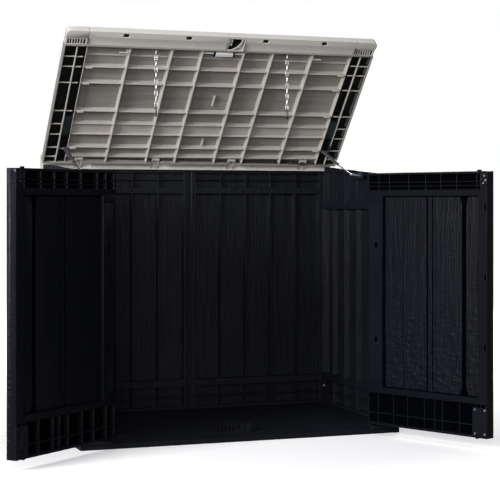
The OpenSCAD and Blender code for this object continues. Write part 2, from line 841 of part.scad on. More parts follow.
module lid_panel() {
    color("#a9a49c") on_lid() difference() {
        union() {
            // Skin
            box([-lid_x + lid_bevel, rail_y, skin_z], [lid_x - lid_bevel, lid_tail, lid_top]);
            for (s = [-1, 1]) on_side(s) {
                // Side rim with its bevel
                xz(rail_y, lid_tail - rail_y)
                    polygon([[lid_x - rim_t, rim_z], [lid_x, rim_z], [lid_x, lid_top - lid_bevel],
                        [lid_x - lid_bevel, lid_top], [lid_x - lid_bevel - 4, skin_z],
                        [lid_x - rim_t, lid_top - lid_bevel - 4]]);
                for (x = [side_rib, edge_rib]) long_rib(x, rib_t);
                for (x = long_ribs) {
                    long_rib(x, long_rib_t);
                    box([x - 2 * long_rib_t, rail_y, skin_z - 5],
                        [x + 2 * long_rib_t, lid_tail - 2, rib_top]);
                }
                // Short ribs between the rim and the rib beside it
                for (u = concat(cross_ribs, lid_l - strip[0]))
                    box([edge_rib, -u, low_rib_z], [lid_x - 4, short_rib_t - u, rib_top]);
            }
            // Ribs across the lid, a raised band and a low strip
            for (u = cross_ribs)
                box([-side_rib, -u - rib_t / 2, low_rib_z], [side_rib, -u + rib_t / 2, rib_top]);
            box([-side_rib, strip[0] - lid_l, skin_z - 5], [side_rib, strip[1] - lid_l, rib_top]);
            box([-side_rib, -band[1], skin_z - 8], [side_rib, -band[0], rib_top]);
            // Wall along the back
            box([2 - lid_x, lid_tail - 4, rim_z], [lid_x - 2, lid_tail, rib_top]);
        }
        // Room for the hinge arms
        room = lug_w / 2 + arm_t + 3;
        for (x = hinge_xs) box([x - room, -12, rim_z - 1], [x + room, lid_tail + 1, skin_z]);
    }
}

// Knuckles that turn on the hinge pins
module lid_knuckles() {
    color("#a9a49c") on_lid() for (x = hinge_xs) difference() {
        union() {
            rod_x(x, lug_w - 2 * touch, lug_d);
            box([x - lug_w / 2 + touch, -lug_d / 2, 0], [x + lug_w / 2 - touch, lug_d / 2, skin_z]);
        }
        rod_x(x, lug_w + 2, lid_pin_d + 2 * pin_clear);
    }
}

// Front rail in two lengths beside the lock case, with slots in its lip
lock_x = [7, 87];
rail_bays = 12;
slot_bays = [1.72, 4.44];
lip_slot = [25, 18];
lip_slot_u = 1;

module front_rail(side, start) {
    bay = 2 * cap_x / rail_bays;
    color("#b9b5ae") on_lid() on_side(side) difference() {
        yz(start, cap_x - start) lid_profile();
        difference() {
            yz(start + skin_t, cap_x - start - 2 * skin_t) lid_profile_hollow();
            for (i = [1 : rail_bays / 2 - 1])
                box([i * bay - 2, rim_front, rim_z], [i * bay + 2, rail_y + 2, lid_top]);
        }
        for (p = slot_bays) translate([p * bay - lip_slot[0] / 2, lip_slot_u - lid_l, rim_z - 1])
            cube([lip_slot[0], lip_slot[1], rim_t]);
    }
}

module lid_front_left() { front_rail(-1, -lock_x[0]); }
module lid_front_right() { front_rail(1, lock_x[1]); }

// Corner caps of the front rail
cap_r = 30;
cap_bay = cap_l / 3;
cap_slot = [22, 16];

module lid_cap(side) {
    color("#b3afa8") on_lid() on_side(side) difference() {
        intersection() {
            yz(cap_x, lid_x - cap_x) lid_profile();
            linear_extrude(200, center = true) {
                area([cap_x, rim_front], [lid_x - cap_r, rail_y + 1]);
                area([cap_x, rim_front + cap_r], [lid_x, rail_y + 1]);
                translate([lid_x - cap_r, rim_front + cap_r]) circle(r = cap_r);
            }
        }
        difference() {
            box([cap_x + skin_t, rim_front + skin_t, rim_z + rim_t],
                [lid_x - skin_t, rail_y + 1, skin_z - 1]);
            translate([lid_x - cap_r, rim_front + cap_r]) linear_extrude(100, center = true) difference() {
                area([0, -cap_r - 1], [cap_r + 1, 0]);
                circle(r = cap_r - rim_t);
            }
            for (i = [1, 2]) translate([cap_x + i * cap_bay, 0])
                box([-rib_t / 2, rim_front, rim_z], [rib_t / 2, rail_y + 2, lid_top]);
            for (y = [rail_y - rim_t, rim_front + lip_d - 2])
                box([cap_x, y, rim_z], [lid_x, rail_y + 2, rim_z + lip_step + rim_t]);
        }
        for (x = [cap_x + 14, cap_x + 50]) translate([x, 44 - lid_l, rim_z - 1])
            cube([cap_slot[0], cap_slot[1], lip_step + 4]);
    }
}

module lid_cap_left() { lid_cap(-1); }
module lid_cap_right() { lid_cap(1); }

// Lock case with a quarter-round pocket, and guide ribs on the pocket's ceiling
lock_wall = 5;
lock_u = 5;
lock_r = 57;
lock_top = skin_z - lock_wall;
guide_in = [2, 8, 0];
guide = [5, 15, 18];
guide_gap = [3, 2];

module on_lock(z) {
    on_lid() translate([lock_x[0] + lock_wall, lock_u - lid_l, z]) children();
}

module lock_case() {
    color("#b9b5ae") difference() {
        on_lid() yz(lock_x[0], lock_x[1] - lock_x[0]) lid_profile();
        on_lock(rim_z - 1) intersection() {
            cylinder(h = lock_top - rim_z + 1, r = lock_r);
            cube(lock_r + 1);
        }
    }
}

module lock_guides() {
    base_t = 3;
    color("#9a9da3") on_lock(lock_top - guide[2]) translate(guide_in) {
        translate([0, 0, guide[2] - base_t])
            cube([2 * guide[0] + guide_gap[0], 2 * guide[1] + guide_gap[1], base_t]);
        for (i = [0, 1], j = [0, 1])
            translate([i * (guide[0] + guide_gap[0]), j * (guide[1] + guide_gap[1]), 0]) cube(guide);
    }
}

// Hexagonal grip sleeve behind the front rail, on a rod between two long ribs
grip_x = [-37, 44];
grip_u = 95;
grip_d = 24;
grip_rod_d = 9;
grip_up = 16;

// Puts a part drawn along +Z on the rod's line, from x
module on_grip(x) {
    on_lid() translate([x, grip_u - lid_l, rim_z + grip_up]) rotate([0, 90, 0]) children();
}

module handle_sleeve() {
    l = grip_x[1] - grip_x[0];
    color("#c4c2bd") on_grip(grip_x[0]) difference() {
        rotate([0, 0, 30]) cylinder(h = l, d = grip_d, $fn = 6);
        translate([0, 0, -1]) cylinder(h = l + 2, d = grip_rod_d + touch);
    }
}

module handle_rod() {
    reach = long_ribs[0] - long_rib_t / 2;
    color("#b9bcc2") on_grip(-reach) cylinder(h = 2 * reach, d = grip_rod_d);
}

// Brackets at the ends of the grip sleeve, tied to the front rail
ear_t = 8;
ear_w = 24;
module handle_brackets() {
    front = grip_u - lid_l - ear_w / 2;
    color("#33353c") for (x = [grip_x[0] - ear_t, grip_x[1]]) difference() {
        on_lid() {
            box([x, front, rim_z + 6], [x + ear_t, front + ear_w, skin_z]);
            box([x - ear_t / 2, rail_y, rim_z + grip_up - 6], [x + 1.5 * ear_t, front, rim_z + grip_up]);
        }
        on_grip(x - 1) cylinder(h = ear_t + 2, d = grip_rod_d + touch);
    }
}

// Hooks that the chains hang from
cheek_t = 3;
cheek_w = 12;
module lid_hooks() {
    color("#b9bcc2") on_lid() for (s = [-1, 1]) on_side(s) translate([chain_x, -hook_u, -hook_w]) {
        rod_x(0, 24, hook_d);
        for (x = [-11, 11 - cheek_t]) {
            box([x, -cheek_w / 2, 0], [x + cheek_t, cheek_w / 2, hook_drop]);
            translate([x, 0, 0]) rotate([0, 90, 0]) cylinder(h = cheek_t, d = cheek_w);
        }
        box([-16, -9, hook_drop - cheek_t], [16, 9, hook_drop]);
    }
}

// Brackets on the lid for the struts' upper studs, each with a box between the two ribs beside it
bracket_x = edge_rib - rib_t / 2 - plate_t;
bracket_l = 139;
bracket_arm = 47;
bracket_r = 8;
pan_x = side_rib + rib_t / 2 + edge_gap;
pan_u = [152, 252];
pan_z = -15;
pan_top = 6;
module lid_bracket(side) {
    back = -stud_u - bracket_arm;
    eye = [for (a = [70 : -12.5 : -105]) [bracket_r * cos(a) - stud_u, bracket_r * sin(a) - stud_w]];
    color("#26343a") on_lid() on_side(side) {
        yz(bracket_x, plate_t) polygon(concat(
            [[back, rib_z + 2], [back - bracket_l, rib_z + 2], [back - bracket_l, pan_top], [back, pan_top]],
            eye));
        difference() {
            box([pan_x, -pan_u[1], pan_z], [bracket_x + plate_t / 2, -pan_u[0], pan_top]);
            box([pan_x + plate_t, plate_t - pan_u[1], pan_z + plate_t],
                [bracket_x + plate_t, -plate_t - pan_u[0], pan_top + 1]);
        }
    }
}

module lid_bracket_left() { lid_bracket(-1); }
module lid_bracket_right() { lid_bracket(1); }

// Studs on those brackets, which end just beside the eyes of the struts' tubes
module lid_studs() {
    start = strut_x + eye_w / 2 + stud_gap;
    color("#b9bcc2") on_lid() for (s = [-1, 1]) on_side(s)
        translate([start, -stud_u, -stud_w]) rotate([0, 90, 0]) {
            cylinder(h = bracket_x - start, d = stud_d);
            cylinder(h = stud_head, d = stud_d + 4);
        }
}

// Gas struts, drawn from the wall's stud along +Y
module strut_tube(side) {
    color("#b7b6c4") on_strut(side) {
        difference() {
            translate([0, strut_l - tube_l, 0]) rotate([-90, 0, 0])
                cylinder(h = tube_l - tube_end, d = tube_d);
            translate([0, strut_l - tube_l - 1, 0]) rotate([-90, 0, 0])
                cylinder(h = tube_l - tube_end - tube_wall, d = rod_d + 2 * pin_clear);
        }
        translate([0, strut_l, 0]) rod_x(0, eye_w, fit_d);
    }
}

module strut_rod(side) {
    color("#c8c8d0") on_strut(side) difference() {
        union() {
            rotate([-90, 0, 0]) cylinder(h = strut_l - rod_short, d = rod_d);
            rotate([-90, 0, 0]) cylinder(h = neck_l, d = neck_d);
            rod_x(0, fit_w, fit_d);
        }
        rod_x(0, fit_w + 2, stud_d + 2 * pin_clear);
    }
}

module strut_left_tube() { strut_tube(-1); }
module strut_left_rod() { strut_rod(-1); }
module strut_right_tube() { strut_tube(1); }
module strut_right_rod() { strut_rod(1); }

// A link or a ring of round wire that hangs from its upper bend's centre
module link(length, width, wire) {
    r = (width - wire) / 2;
    straight = length - width;
    for (up = [0, 1]) translate([0, 0, (up - 1) * straight]) rotate([90, 0, 0])
        rotate([0, 0, 180 * (1 - up)]) rotate_extrude(angle = 180)
            translate([r, 0]) circle(d = wire, $fn = 24);
    for (s = [-1, 1]) translate([s * r, 0, -straight]) cylinder(h = straight, d = wire, $fn = 24);
}

module chain(side) {
    color("#c4c6c8") on_side(side) translate([chain_x, hook_y, hook_z])
        for (i = [0 : links - 1]) translate([0, 0, -i * pitch]) rotate([0, 0, i % 2 ? 0 : 90])
            link(link_l, link_w, wire_d);
}

// Spring clip in a chain's last link
module chain_clip(side) {
    last = (links - 1) * pitch + link_l - link_w;
    drop = last + link_r - wire_d / 2 - touch - clip_wire / 2 + (clip_w - clip_wire) / 2;
    color("#17181c") on_side(side) translate([chain_x, hook_y, hook_z - drop])
        rotate([0, 0, links % 2 ? 0 : 90]) link(clip_l, clip_w, clip_wire);
}

module chain_left() { chain(-1); }
module chain_left_clip() { chain_clip(-1); }
module chain_right() { chain(1); }
module chain_right_clip() { chain_clip(1); }

base_tray();
door_stop();
wall_left();
wall_right();
post_left();
post_right();
back_left();
back_right();
back_seam();
rear_bar();
rear_bar_screws();
corner_brackets();
door_arms();
door_pins();
wall_screws();
lid_hinge_arms();
lid_hinge_pins();
strut_plate_left();
strut_plate_right();
wall_studs();
door_left_shell();
door_left_frame();
door_left_strip();
door_left_plate();
door_left_cap();
door_left_catch();
door_left_screws();
door_right_shell();
door_right_frame();
door_right_strip();
door_right_plate();
door_right_cap();
door_right_catch();
door_right_screws();
lid_panel();
lid_knuckles();
lid_front_left();
lid_front_right();
lid_cap_left();
lid_cap_right();
lock_case();
lock_guides();
handle_sleeve();
handle_rod();
handle_brackets();
lid_hooks();
lid_bracket_left();
lid_bracket_right();
lid_studs();
strut_left_tube();
strut_left_rod();
strut_right_tube();
strut_right_rod();
chain_left();
chain_left_clip();
chain_right();
chain_right_clip();
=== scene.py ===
"""Garden storage box: a dark plank-faced box with two doors and a light, ribbed lid."""

import json
import math

import bmesh
import bpy
from bpy.props import FloatProperty, FloatVectorProperty, PointerProperty
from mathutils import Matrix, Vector

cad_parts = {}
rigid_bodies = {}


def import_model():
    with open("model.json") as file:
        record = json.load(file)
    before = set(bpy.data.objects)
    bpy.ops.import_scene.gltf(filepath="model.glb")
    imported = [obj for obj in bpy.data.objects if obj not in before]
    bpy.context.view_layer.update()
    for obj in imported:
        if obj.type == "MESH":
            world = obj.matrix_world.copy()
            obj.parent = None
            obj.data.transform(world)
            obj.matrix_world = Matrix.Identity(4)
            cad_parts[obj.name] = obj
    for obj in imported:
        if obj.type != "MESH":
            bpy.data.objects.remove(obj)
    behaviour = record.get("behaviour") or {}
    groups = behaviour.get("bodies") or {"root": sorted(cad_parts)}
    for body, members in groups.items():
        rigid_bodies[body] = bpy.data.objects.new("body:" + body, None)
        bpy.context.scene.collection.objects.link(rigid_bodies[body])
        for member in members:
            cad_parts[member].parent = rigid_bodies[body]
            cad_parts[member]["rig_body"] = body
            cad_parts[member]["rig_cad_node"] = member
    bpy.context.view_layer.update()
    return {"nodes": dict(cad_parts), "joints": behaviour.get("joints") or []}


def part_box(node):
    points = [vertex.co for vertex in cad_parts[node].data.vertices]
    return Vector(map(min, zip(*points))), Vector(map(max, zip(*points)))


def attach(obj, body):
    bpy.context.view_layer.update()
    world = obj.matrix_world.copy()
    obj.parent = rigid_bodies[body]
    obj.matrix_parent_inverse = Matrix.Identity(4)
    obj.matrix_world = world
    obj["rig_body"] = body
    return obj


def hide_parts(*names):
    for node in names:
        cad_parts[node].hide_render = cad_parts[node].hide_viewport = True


bl_info = {
    "name": "Garden Storage Box",
    "version": (1, 0, 0),
    "blender": (4, 5, 0),
    "location": "3D View > Sidebar > Storage Box",
    "description": "Dresses the packed storage box with moulded plastic and metal pieces",
    "category": "Object",
}

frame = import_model()
bpy.ops.object.select_all(action="DESELECT")

MM = 0.001
SMALL = 0.05
GROOVE_END = 1.8
X, Y, Z = 0, 1, 2


def box_of(node):
    """A CAD node's lowest and highest corners, in millimetres."""
    return [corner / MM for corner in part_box(node)]


hinge_places = {j["name"]: j for j in frame["joints"]}
lid_pin = Vector(hinge_places["lid_hinge"]["pos_m"]) / MM
door_pin = Vector(hinge_places["door_right_hinge"]["pos_m"]) / MM
PIN_X, PIN_Y = door_pin.x, door_pin.y
CLOSED_SLOPE = 4.0
LID_OPEN = hinge_places["lid_hinge"]["range_deg"][1] - CLOSED_SLOPE
DOOR_OPEN = {
    1: -hinge_places["door_right_hinge"]["range_deg"][0],
    -1: hinge_places["door_left_hinge"]["range_deg"][1],
}


# Sizes and colours that a user may change


class BodyLook(bpy.types.PropertyGroup):
    """Colours and finish of the dark box"""

    wall_colour: FloatVectorProperty(
        name="Wall colour", description="Colour of the walls, posts and tray", subtype="COLOR", size=3,
        default=(0.0062, 0.0070, 0.0102), min=0, max=1,
    )
    door_colour: FloatVectorProperty(
        name="Door colour", description="Colour of the doors", subtype="COLOR", size=3,
        default=(0.0030, 0.0036, 0.0062), min=0, max=1,
    )
    grain_depth: FloatProperty(
        name="Grain depth", description="Depth of the moulded wood grain", default=0.9, min=0, max=3,
    )
    edge_round: FloatProperty(
        name="Edge rounding", description="Rounding of edges that have no width of their own",
        unit="LENGTH", default=0.0014, min=0.0002, max=0.004,
    )


class LidLook(bpy.types.PropertyGroup):
    """Colours of the lid and its front rail"""

    lid_colour: FloatVectorProperty(
        name="Lid colour", description="Colour of the ribbed lid", subtype="COLOR", size=3,
        default=(0.40, 0.378, 0.345), min=0, max=1,
    )
    rail_colour: FloatVectorProperty(
        name="Rail colour", description="Colour of the lid's front rail and corner caps", subtype="COLOR",
        size=3, default=(0.50, 0.485, 0.455), min=0, max=1,
    )
    rib_draft: FloatProperty(
        name="Rib draft", description="How much thicker a rib is at its root than at its edge",
        unit="LENGTH", default=0.002, min=0, max=0.01,
    )


class MetalLook(bpy.types.PropertyGroup):
    """Colours of the metal pieces"""

    zinc_colour: FloatVectorProperty(
        name="Zinc colour", description="Colour of the chains and screws", subtype="COLOR", size=3,
        default=(0.62, 0.62, 0.65), min=0, max=1,
    )
    bracket_colour: FloatVectorProperty(
        name="Bracket colour", description="Colour of the painted strut brackets", subtype="COLOR", size=3,
        default=(0.016, 0.027, 0.032), min=0, max=1,
    )


# Shader maths


class Amount:
    """A shader value that can be added to and multiplied."""

    def __init__(self, finish, socket):
        self.finish = finish
        self.socket = socket

    def _with(self, operation, other):
        made = self.finish.node("ShaderNodeMath", {"operation": operation}, {0: self, 1: other})
        return Amount(self.finish, made.outputs[0])

    def __add__(self, other):
        return self._with("ADD", other)

    def __mul__(self, other):
        return self._with("MULTIPLY", other)

    __radd__, __rmul__ = __add__, __mul__


class Finish:
    """A material that is put together from nodes."""

    def __init__(self, name):
        self.material = bpy.data.materials.new(name)
        self.material.use_nodes = True
        self.tree = self.material.node_tree
        self.tree.nodes.clear()
        self.output = self.node("ShaderNodeOutputMaterial")
        self.shader = self.node("ShaderNodeBsdfPrincipled")
        self.tree.links.new(self.shader.outputs[0], self.output.inputs[0])
        self.place = self.node("ShaderNodeTexCoord").outputs["Object"]

    def node(self, kind, settings=None, sockets=None):
        """Adds a node, makes its settings, then fills its sockets with values or links."""
        made = self.tree.nodes.new(kind)
        for name, value in (settings or {}).items():
            setattr(made, name, value)
        for key, value in (sockets or {}).items():
            self.feed(made.inputs[key], value)
        return made

    def feed(self, socket, value):
        """Links or sets one socket."""
        if isinstance(value, Amount):
            value = value.socket
        if isinstance(value, bpy.types.NodeSocket):
            self.tree.links.new(value, socket)
        else:
            socket.default_value = value

    def stretched(self, scale, place=None):
        """The piece's own coordinates, or other ones, scaled for a pattern."""
        where = self.place if place is None else place
        return self.node("ShaderNodeMapping", None, {"Vector": where, "Scale": scale}).outputs[0]

    def noise(self, scale, stretch=(1, 1, 1), detail=3.0, roughness=0.5, distortion=0.0, place=None):
        """Soft noise from 0 to 1."""
        made = self.node("ShaderNodeTexNoise", None, {
            "Vector": self.stretched(stretch, place), "Scale": scale, "Detail": detail,
            "Roughness": roughness, "Distortion": distortion,
        })
        return Amount(self, made.outputs["Fac"])

    def shaped(self, amount, low, high, to_low=0.0, to_high=1.0):
        """Maps a value's range onto another, clamped."""
        made = self.node("ShaderNodeMapRange", {"clamp": True}, {
            "Value": amount, "From Min": low, "From Max": high, "To Min": to_low, "To Max": to_high,
        })
        return Amount(self, made.outputs[0])

    def blend(self, share, first, second):
        """A colour between two colours."""
        made = self.node("ShaderNodeMix", {"data_type": "RGBA"}, {"Factor": share, 6: first, 7: second})
        return made.outputs[2]

    def bump(self, height, distance):
        """Turns a height into a normal: the distance is in metres."""
        sockets = {"Height": height, "Distance": distance, "Strength": 1.0}
        return self.node("ShaderNodeBump", None, sockets).outputs[0]

    def shade(self, **values):
        """Fills the shader's sockets: underscores stand for spaces in their names."""
        for name, value in values.items():
            self.feed(self.shader.inputs[name.replace("_", " ")], value)
        return self.material


def tone(colour, factor):
    """A colour made lighter or darker."""
    return tuple(min(1.0, channel * factor) for channel in colour[:3]) + (1.0,)


def moulded(name, colour, rough, grain=0.35, spread=0.25, gloss=0.3):
    """Moulded plastic with a fine eroded texture and slight wear."""
    f = Finish(name)
    cloud = f.noise(3.2, detail=4)
    fine = f.noise(900, detail=2)
    speck = f.noise(260, detail=3, roughness=0.65)
    scuff = f.shaped(f.noise(24, stretch=(1, 1, 0.25), detail=6, roughness=0.7), 0.58, 0.74)
    base = f.blend(f.shaped(cloud, 0.3, 0.7), tone(colour, 1 - spread), tone(colour, 1 + spread))
    worn = f.blend(scuff * 0.3, base, tone(colour, 1.7))
    return f.shade(
        Base_Color=worn,
        Roughness=f.shaped(speck + scuff * 0.2, 0.3, 0.9, rough - 0.07, rough + 0.1),
        Normal=f.bump(fine * 0.4 + speck * 0.6, 0.0004 * grain), Specular_IOR_Level=gloss,
    )


def grained(name, colour, rough, along, depth, spread=0.3, scale=1.0, ripple=0.0, gloss=0.3):
    """Moulded wood grain that runs along one axis, X or Z, with ripples low down."""
    f = Finish(name)
    stretch = tuple(0.055 if axis == along else 1.0 for axis in (X, Y, Z))
    bend = f.noise(2.3 * scale, detail=2)
    drift = f.node("ShaderNodeTexNoise", None, {"Vector": f.place, "Scale": 3.0 * scale, "Detail": 2.0})
    warped = f.node("ShaderNodeVectorMath", {"operation": "MULTIPLY_ADD"}, {
        0: drift.outputs["Color"], 1: (0.05, 0.05, 0.05), 2: f.place,
    }).outputs[0]
    lines = f.noise(62.0 * scale, stretch, 5.0, 0.62, place=warped)
    streak = f.shaped(lines, 0.36, 0.64)
    pores = f.shaped(f.noise(210 * scale, stretch, roughness=0.6), 0.42, 0.60)
    fine = f.noise(800, detail=2)
    height = streak * 0.7 + pores * 0.25 + fine * 0.05
    if ripple:
        level = Amount(f, f.node("ShaderNodeSeparateXYZ", None, {"Vector": f.place}).outputs["Z"])
        waves = f.noise(17, (1, 1, 2.2), distortion=0.8)
        height = height + f.shaped(level, 0.8, 0.3) * waves * ripple
    base = f.blend(
        f.shaped(bend + streak * 0.5, 0.45, 1.05), tone(colour, 1 - spread), tone(colour, 1 + spread),
    )
    return f.shade(
        Base_Color=f.blend(streak * 0.35, base, tone(colour, 1.25)),
        Roughness=f.shaped(streak + pores * 0.5, 0, 1.5, rough + 0.08, rough - 0.08),
        Normal=f.bump(height, 0.0016 * depth), Specular_IOR_Level=gloss,
    )


def metal(name, colour, rough, coat=0.0, metallic=1.0, brushed=(1, 1, 1)):
    """Plated, polished or painted metal."""
    f = Finish(name)
    cloud = f.noise(38, detail=4)
    lines = f.noise(420, stretch=brushed, detail=4, roughness=0.6)
    base = f.blend(f.shaped(cloud, 0.35, 0.65), tone(colour, 0.82), tone(colour, 1.12))
    return f.shade(
        Base_Color=base, Metallic=metallic,
        Roughness=f.shaped(lines + cloud, 0.7, 1.3, rough - 0.06, rough + 0.1),
        Normal=f.bump(lines, 0.00008), Coat_Weight=coat, Coat_Roughness=0.12,
    )


finishes = {}


def mix_finishes(context):
    """Mixes every finish of the box."""
    body, lid, steel = context.scene.box_body, context.scene.box_lid, context.scene.box_metal
    wall, door, depth = body.wall_colour, body.door_colour, body.grain_depth
    along_strut = (1, 0.05, 0.05)
    finishes.update({
        "wall grain": grained("wall_grain", wall, 0.42, Z, depth * 0.8, gloss=0.15),
        "wall plain": moulded("wall_plain", wall, 0.44, gloss=0.15),
        "door grain": grained("door_grain", door, 0.38, Z, depth * 0.7, 0.15, 0.9, 4.2, 0.13),
        "door plain": moulded("door_plain", door, 0.38, gloss=0.13),
        "door trim": moulded("door_trim", tone(door, 1.3), 0.36, gloss=0.16),
        # Painted shade: the door's colour darkened for the floors of the ribbed bays
        "bay dark": moulded("bay_dark", tone(door, 0.3), 0.7, gloss=0.0),
        # Painted shade: a near-black finish for the plates in the doors' gaps and slots
        "deep black": moulded("deep_black", (0.0008, 0.0008, 0.001), 0.9, gloss=0.0),
        # The skin's grain is real; its colour at about half the lid's colour is painted shade between the
        # ribs
        "lid grain": grained("lid_grain", tone(lid.lid_colour, 0.52), 0.5, X, depth * 0.8, 0.14, 0.7),
        "lid ribs": moulded("lid_ribs", lid.lid_colour, 0.5, 0.3, 0.06),
        "lid rail": moulded("lid_rail", lid.rail_colour, 0.46, 0.3, 0.05),
        # Painted shade: a near-black finish for the cups and plates put in the lid's hollows and seams
        "lid dark": moulded("lid_dark", (0.006, 0.006, 0.007), 0.6, 0.3, 0.3),
        "fitting": moulded("dark_fitting", (0.006, 0.0065, 0.0082), 0.42, gloss=0.13),
        "light fitting": moulded("light_fitting", (0.56, 0.56, 0.55), 0.35, 0.2, 0.05),
        "bracket": metal("painted_bracket", steel.bracket_colour, 0.36, 0.3, 0.35),
        "zinc": metal("zinc", steel.zinc_colour, 0.28),
        "chain": metal("chain_zinc", tone(steel.zinc_colour, 0.8), 0.3),
        "clip": metal("clip_black", (0.012, 0.012, 0.014), 0.22, 0.5, 0.5),
        "tube": metal("strut_tube", (0.12, 0.12, 0.13), 0.3, 0.4, 0.6, along_strut),
        "rod": metal("strut_rod", (0.74, 0.74, 0.80), 0.14, 0, 1.0, along_strut),
    })


# Modelling by hand, in millimetres


def open_piece(name):
    """Settles a new primitive's place in its mesh and opens it for editing."""
    piece = bpy.context.object
    piece.name = name
    bpy.ops.object.transform_apply(location=True, rotation=True, scale=True)
    bpy.ops.object.mode_set(mode="EDIT")
    return piece


def block(low, high, name="block"):
    """Adds a block between two corners and opens it for editing."""
    bpy.ops.object.select_all(action="DESELECT")
    middle = [(a + b) / 2 * MM for a, b in zip(low, high)]
    size = [(b - a) * MM for a, b in zip(low, high)]
    bpy.ops.mesh.primitive_cube_add(size=1, location=middle, scale=size)
    return open_piece(name)


def drum(start, along, length, radius, sides=32, name="drum"):
    """Adds a round bar that starts at a point and runs along an axis, and opens it for editing."""
    bpy.ops.object.select_all(action="DESELECT")
    way = Vector(along).normalized()
    middle = (Vector(start) + way * length / 2) * MM
    turn = way.to_track_quat("Z", "Y").to_euler()
    bpy.ops.mesh.primitive_cylinder_add(
        vertices=sides, radius=radius * MM, depth=length * MM, location=middle, rotation=turn,
    )
    return open_piece(name)


def shape():
    """The mesh that is open for editing."""
    return bmesh.from_edit_mesh(bpy.context.object.data)


def near(value, place):
    """Whether a value is at a place."""
    return abs(value - place) < SMALL


def at(**places):
    """A test for points at the given x, y or z."""
    return lambda point: all(near(getattr(point, axis), place) for axis, place in places.items())


def facing(axis, sign=0):
    """A test for faces that look up an axis (1), down it (-1), or either way (0)."""
    return lambda middle, normal: (normal[axis] * sign if sign else abs(normal[axis])) > 0.9


def between(axis, low, high):
    """A test for faces whose middle lies between two places."""
    return lambda middle, normal: low < middle[axis] < high


def both(*tests):
    """A test that joins tests."""
    return lambda middle, normal: all(test(middle, normal) for test in tests)


LEFTWARD, FORWARD, REARWARD = facing(X, -1), facing(Y, -1), facing(Y, 1)
UP, DOWN = facing(Z, 1), facing(Z, -1)


def select(mode, parts, test):
    """Selects the parts of the open mesh (its faces, edges or verts) that pass a test."""
    bpy.ops.mesh.select_mode(type=mode)
    bpy.ops.mesh.select_all(action="DESELECT")
    mesh = shape()
    mesh.normal_update()
    for part in getattr(mesh, parts):
        if test(part):
            part.select_set(True)
    if mode == "VERT":
        mesh.select_flush(True)
    bmesh.update_edit_mesh(bpy.context.object.data)


def pick(test=None):
    """Selects the faces whose middle (in millimetres) and normal pass a test, or all."""
    select("FACE", "faces", lambda face: not test or test(face.calc_center_median() / MM, face.normal))


def slide(test, x, y, z):
    """Moves the points that pass a test."""
    select("VERT", "verts", lambda point: test(point.co / MM))
    bpy.ops.transform.translate(value=(x * MM, y * MM, z * MM))


def bevel(test, width, steps=1):
    """Bevels the edges whose two ends pass a test."""
    select("EDGE", "edges", lambda edge: all(test(point.co / MM) for point in edge.verts))
    bpy.ops.mesh.bevel(offset=width * MM, segments=steps, affect="EDGES")


def extrude(test, x, y, z):
    """Extrudes the faces that pass a test."""
    pick(test)
    way = {"value": (x * MM, y * MM, z * MM)}
    bpy.ops.mesh.extrude_region_move(TRANSFORM_OT_translate=way)


def taper(test, scale, centre):
    """Scales the faces that pass a test about a centre."""
    pick(test)
    bpy.ops.transform.resize(value=scale, center_override=[place * MM for place in centre])


def plane(axis, place):
    """A cutting plane across an axis."""
    point, normal = [0.0, 0.0, 0.0], [0.0, 0.0, 0.0]
    point[axis], normal[axis] = place * MM, 1.0
    return {"plane_co": point, "plane_no": normal}


def score(axis, places, test=None):
    """Cuts the faces that pass a test, across one axis at each place."""
    for place in places:
        pick(test)
        bpy.ops.mesh.bisect(**plane(axis, place))


def press(test, rim, draft, depth):
    """Presses each face that passes a test into a pocket with sloping walls."""
    pick(test)
    if rim:
        bpy.ops.mesh.inset(thickness=rim * MM, depth=0, use_individual=True)
    bpy.ops.mesh.inset(thickness=draft * MM, depth=-depth * MM, use_individual=True)


def groove(axis, place, width, depth, outward, span, along=Z):
    """Cuts a V-shaped groove between two ends into the side that looks outward: an axis and a sign."""
    side_axis, sign = outward
    side = facing(side_axis, sign)
    low, high = span[0] + GROOVE_END, span[1] - GROOVE_END
    score(axis, (place - width / 2, place, place + width / 2), side)
    strip = between(axis, place - width / 2 - SMALL, place + width / 2 + SMALL)
    score(along, (span[0], low, high, span[1]), both(side, strip))
    level = max(point.co[side_axis] * sign for point in shape().verts) / MM
    line = lambda p: near(p[axis], place) and near(p[side_axis] * sign, level)
    way = [-sign * depth if one == side_axis else 0 for one in (X, Y, Z)]
    slide(lambda p: line(p) and low - SMALL < p[along] < high + SMALL, *way)


def shut():
    """Closes the piece after editing."""
    bpy.ops.object.mode_set(mode="OBJECT")
    return bpy.context.object


def choose(piece, edit=False):
    """Makes one piece the only one selected, and may open it for editing."""
    bpy.ops.object.select_all(action="DESELECT")
    piece.select_set(True)
    bpy.context.view_layer.objects.active = piece
    if edit:
        bpy.ops.object.mode_set(mode="EDIT")
        bpy.ops.mesh.select_all(action="SELECT")


def merge():
    """Merges the doubles of all that is open for editing."""
    bpy.ops.mesh.remove_doubles(threshold=0.00001)


def gather(pieces, name):
    """Joins pieces into one."""
    bpy.ops.object.select_all(action="DESELECT")
    for piece in pieces:
        piece.select_set(True)
    bpy.context.view_layer.objects.active = pieces[0]
    if len(pieces) > 1:
        bpy.ops.object.join()
    pieces[0].name = name
    return pieces[0]


def add_modifier(piece, kind, **settings):
    """Adds a modifier with its settings and applies it."""
    choose(piece)
    bpy.ops.object.modifier_add(type=kind)
    made = piece.modifiers[-1]
    for name, value in settings.items():
        setattr(made, name, value)
    bpy.ops.object.modifier_apply(modifier=made.name)


def carve(piece, cutters):
    """Cuts the cutters' shapes out of a piece."""
    tool = gather(cutters, "cutter")
    add_modifier(piece, "BOOLEAN", operation="DIFFERENCE", solver="EXACT", object=tool)
    bpy.data.objects.remove(tool)
    return piece


def solid(low, high):
    """A closed block, to cut with or to stand behind a gap as painted shade."""
    block(low, high)
    return shut()


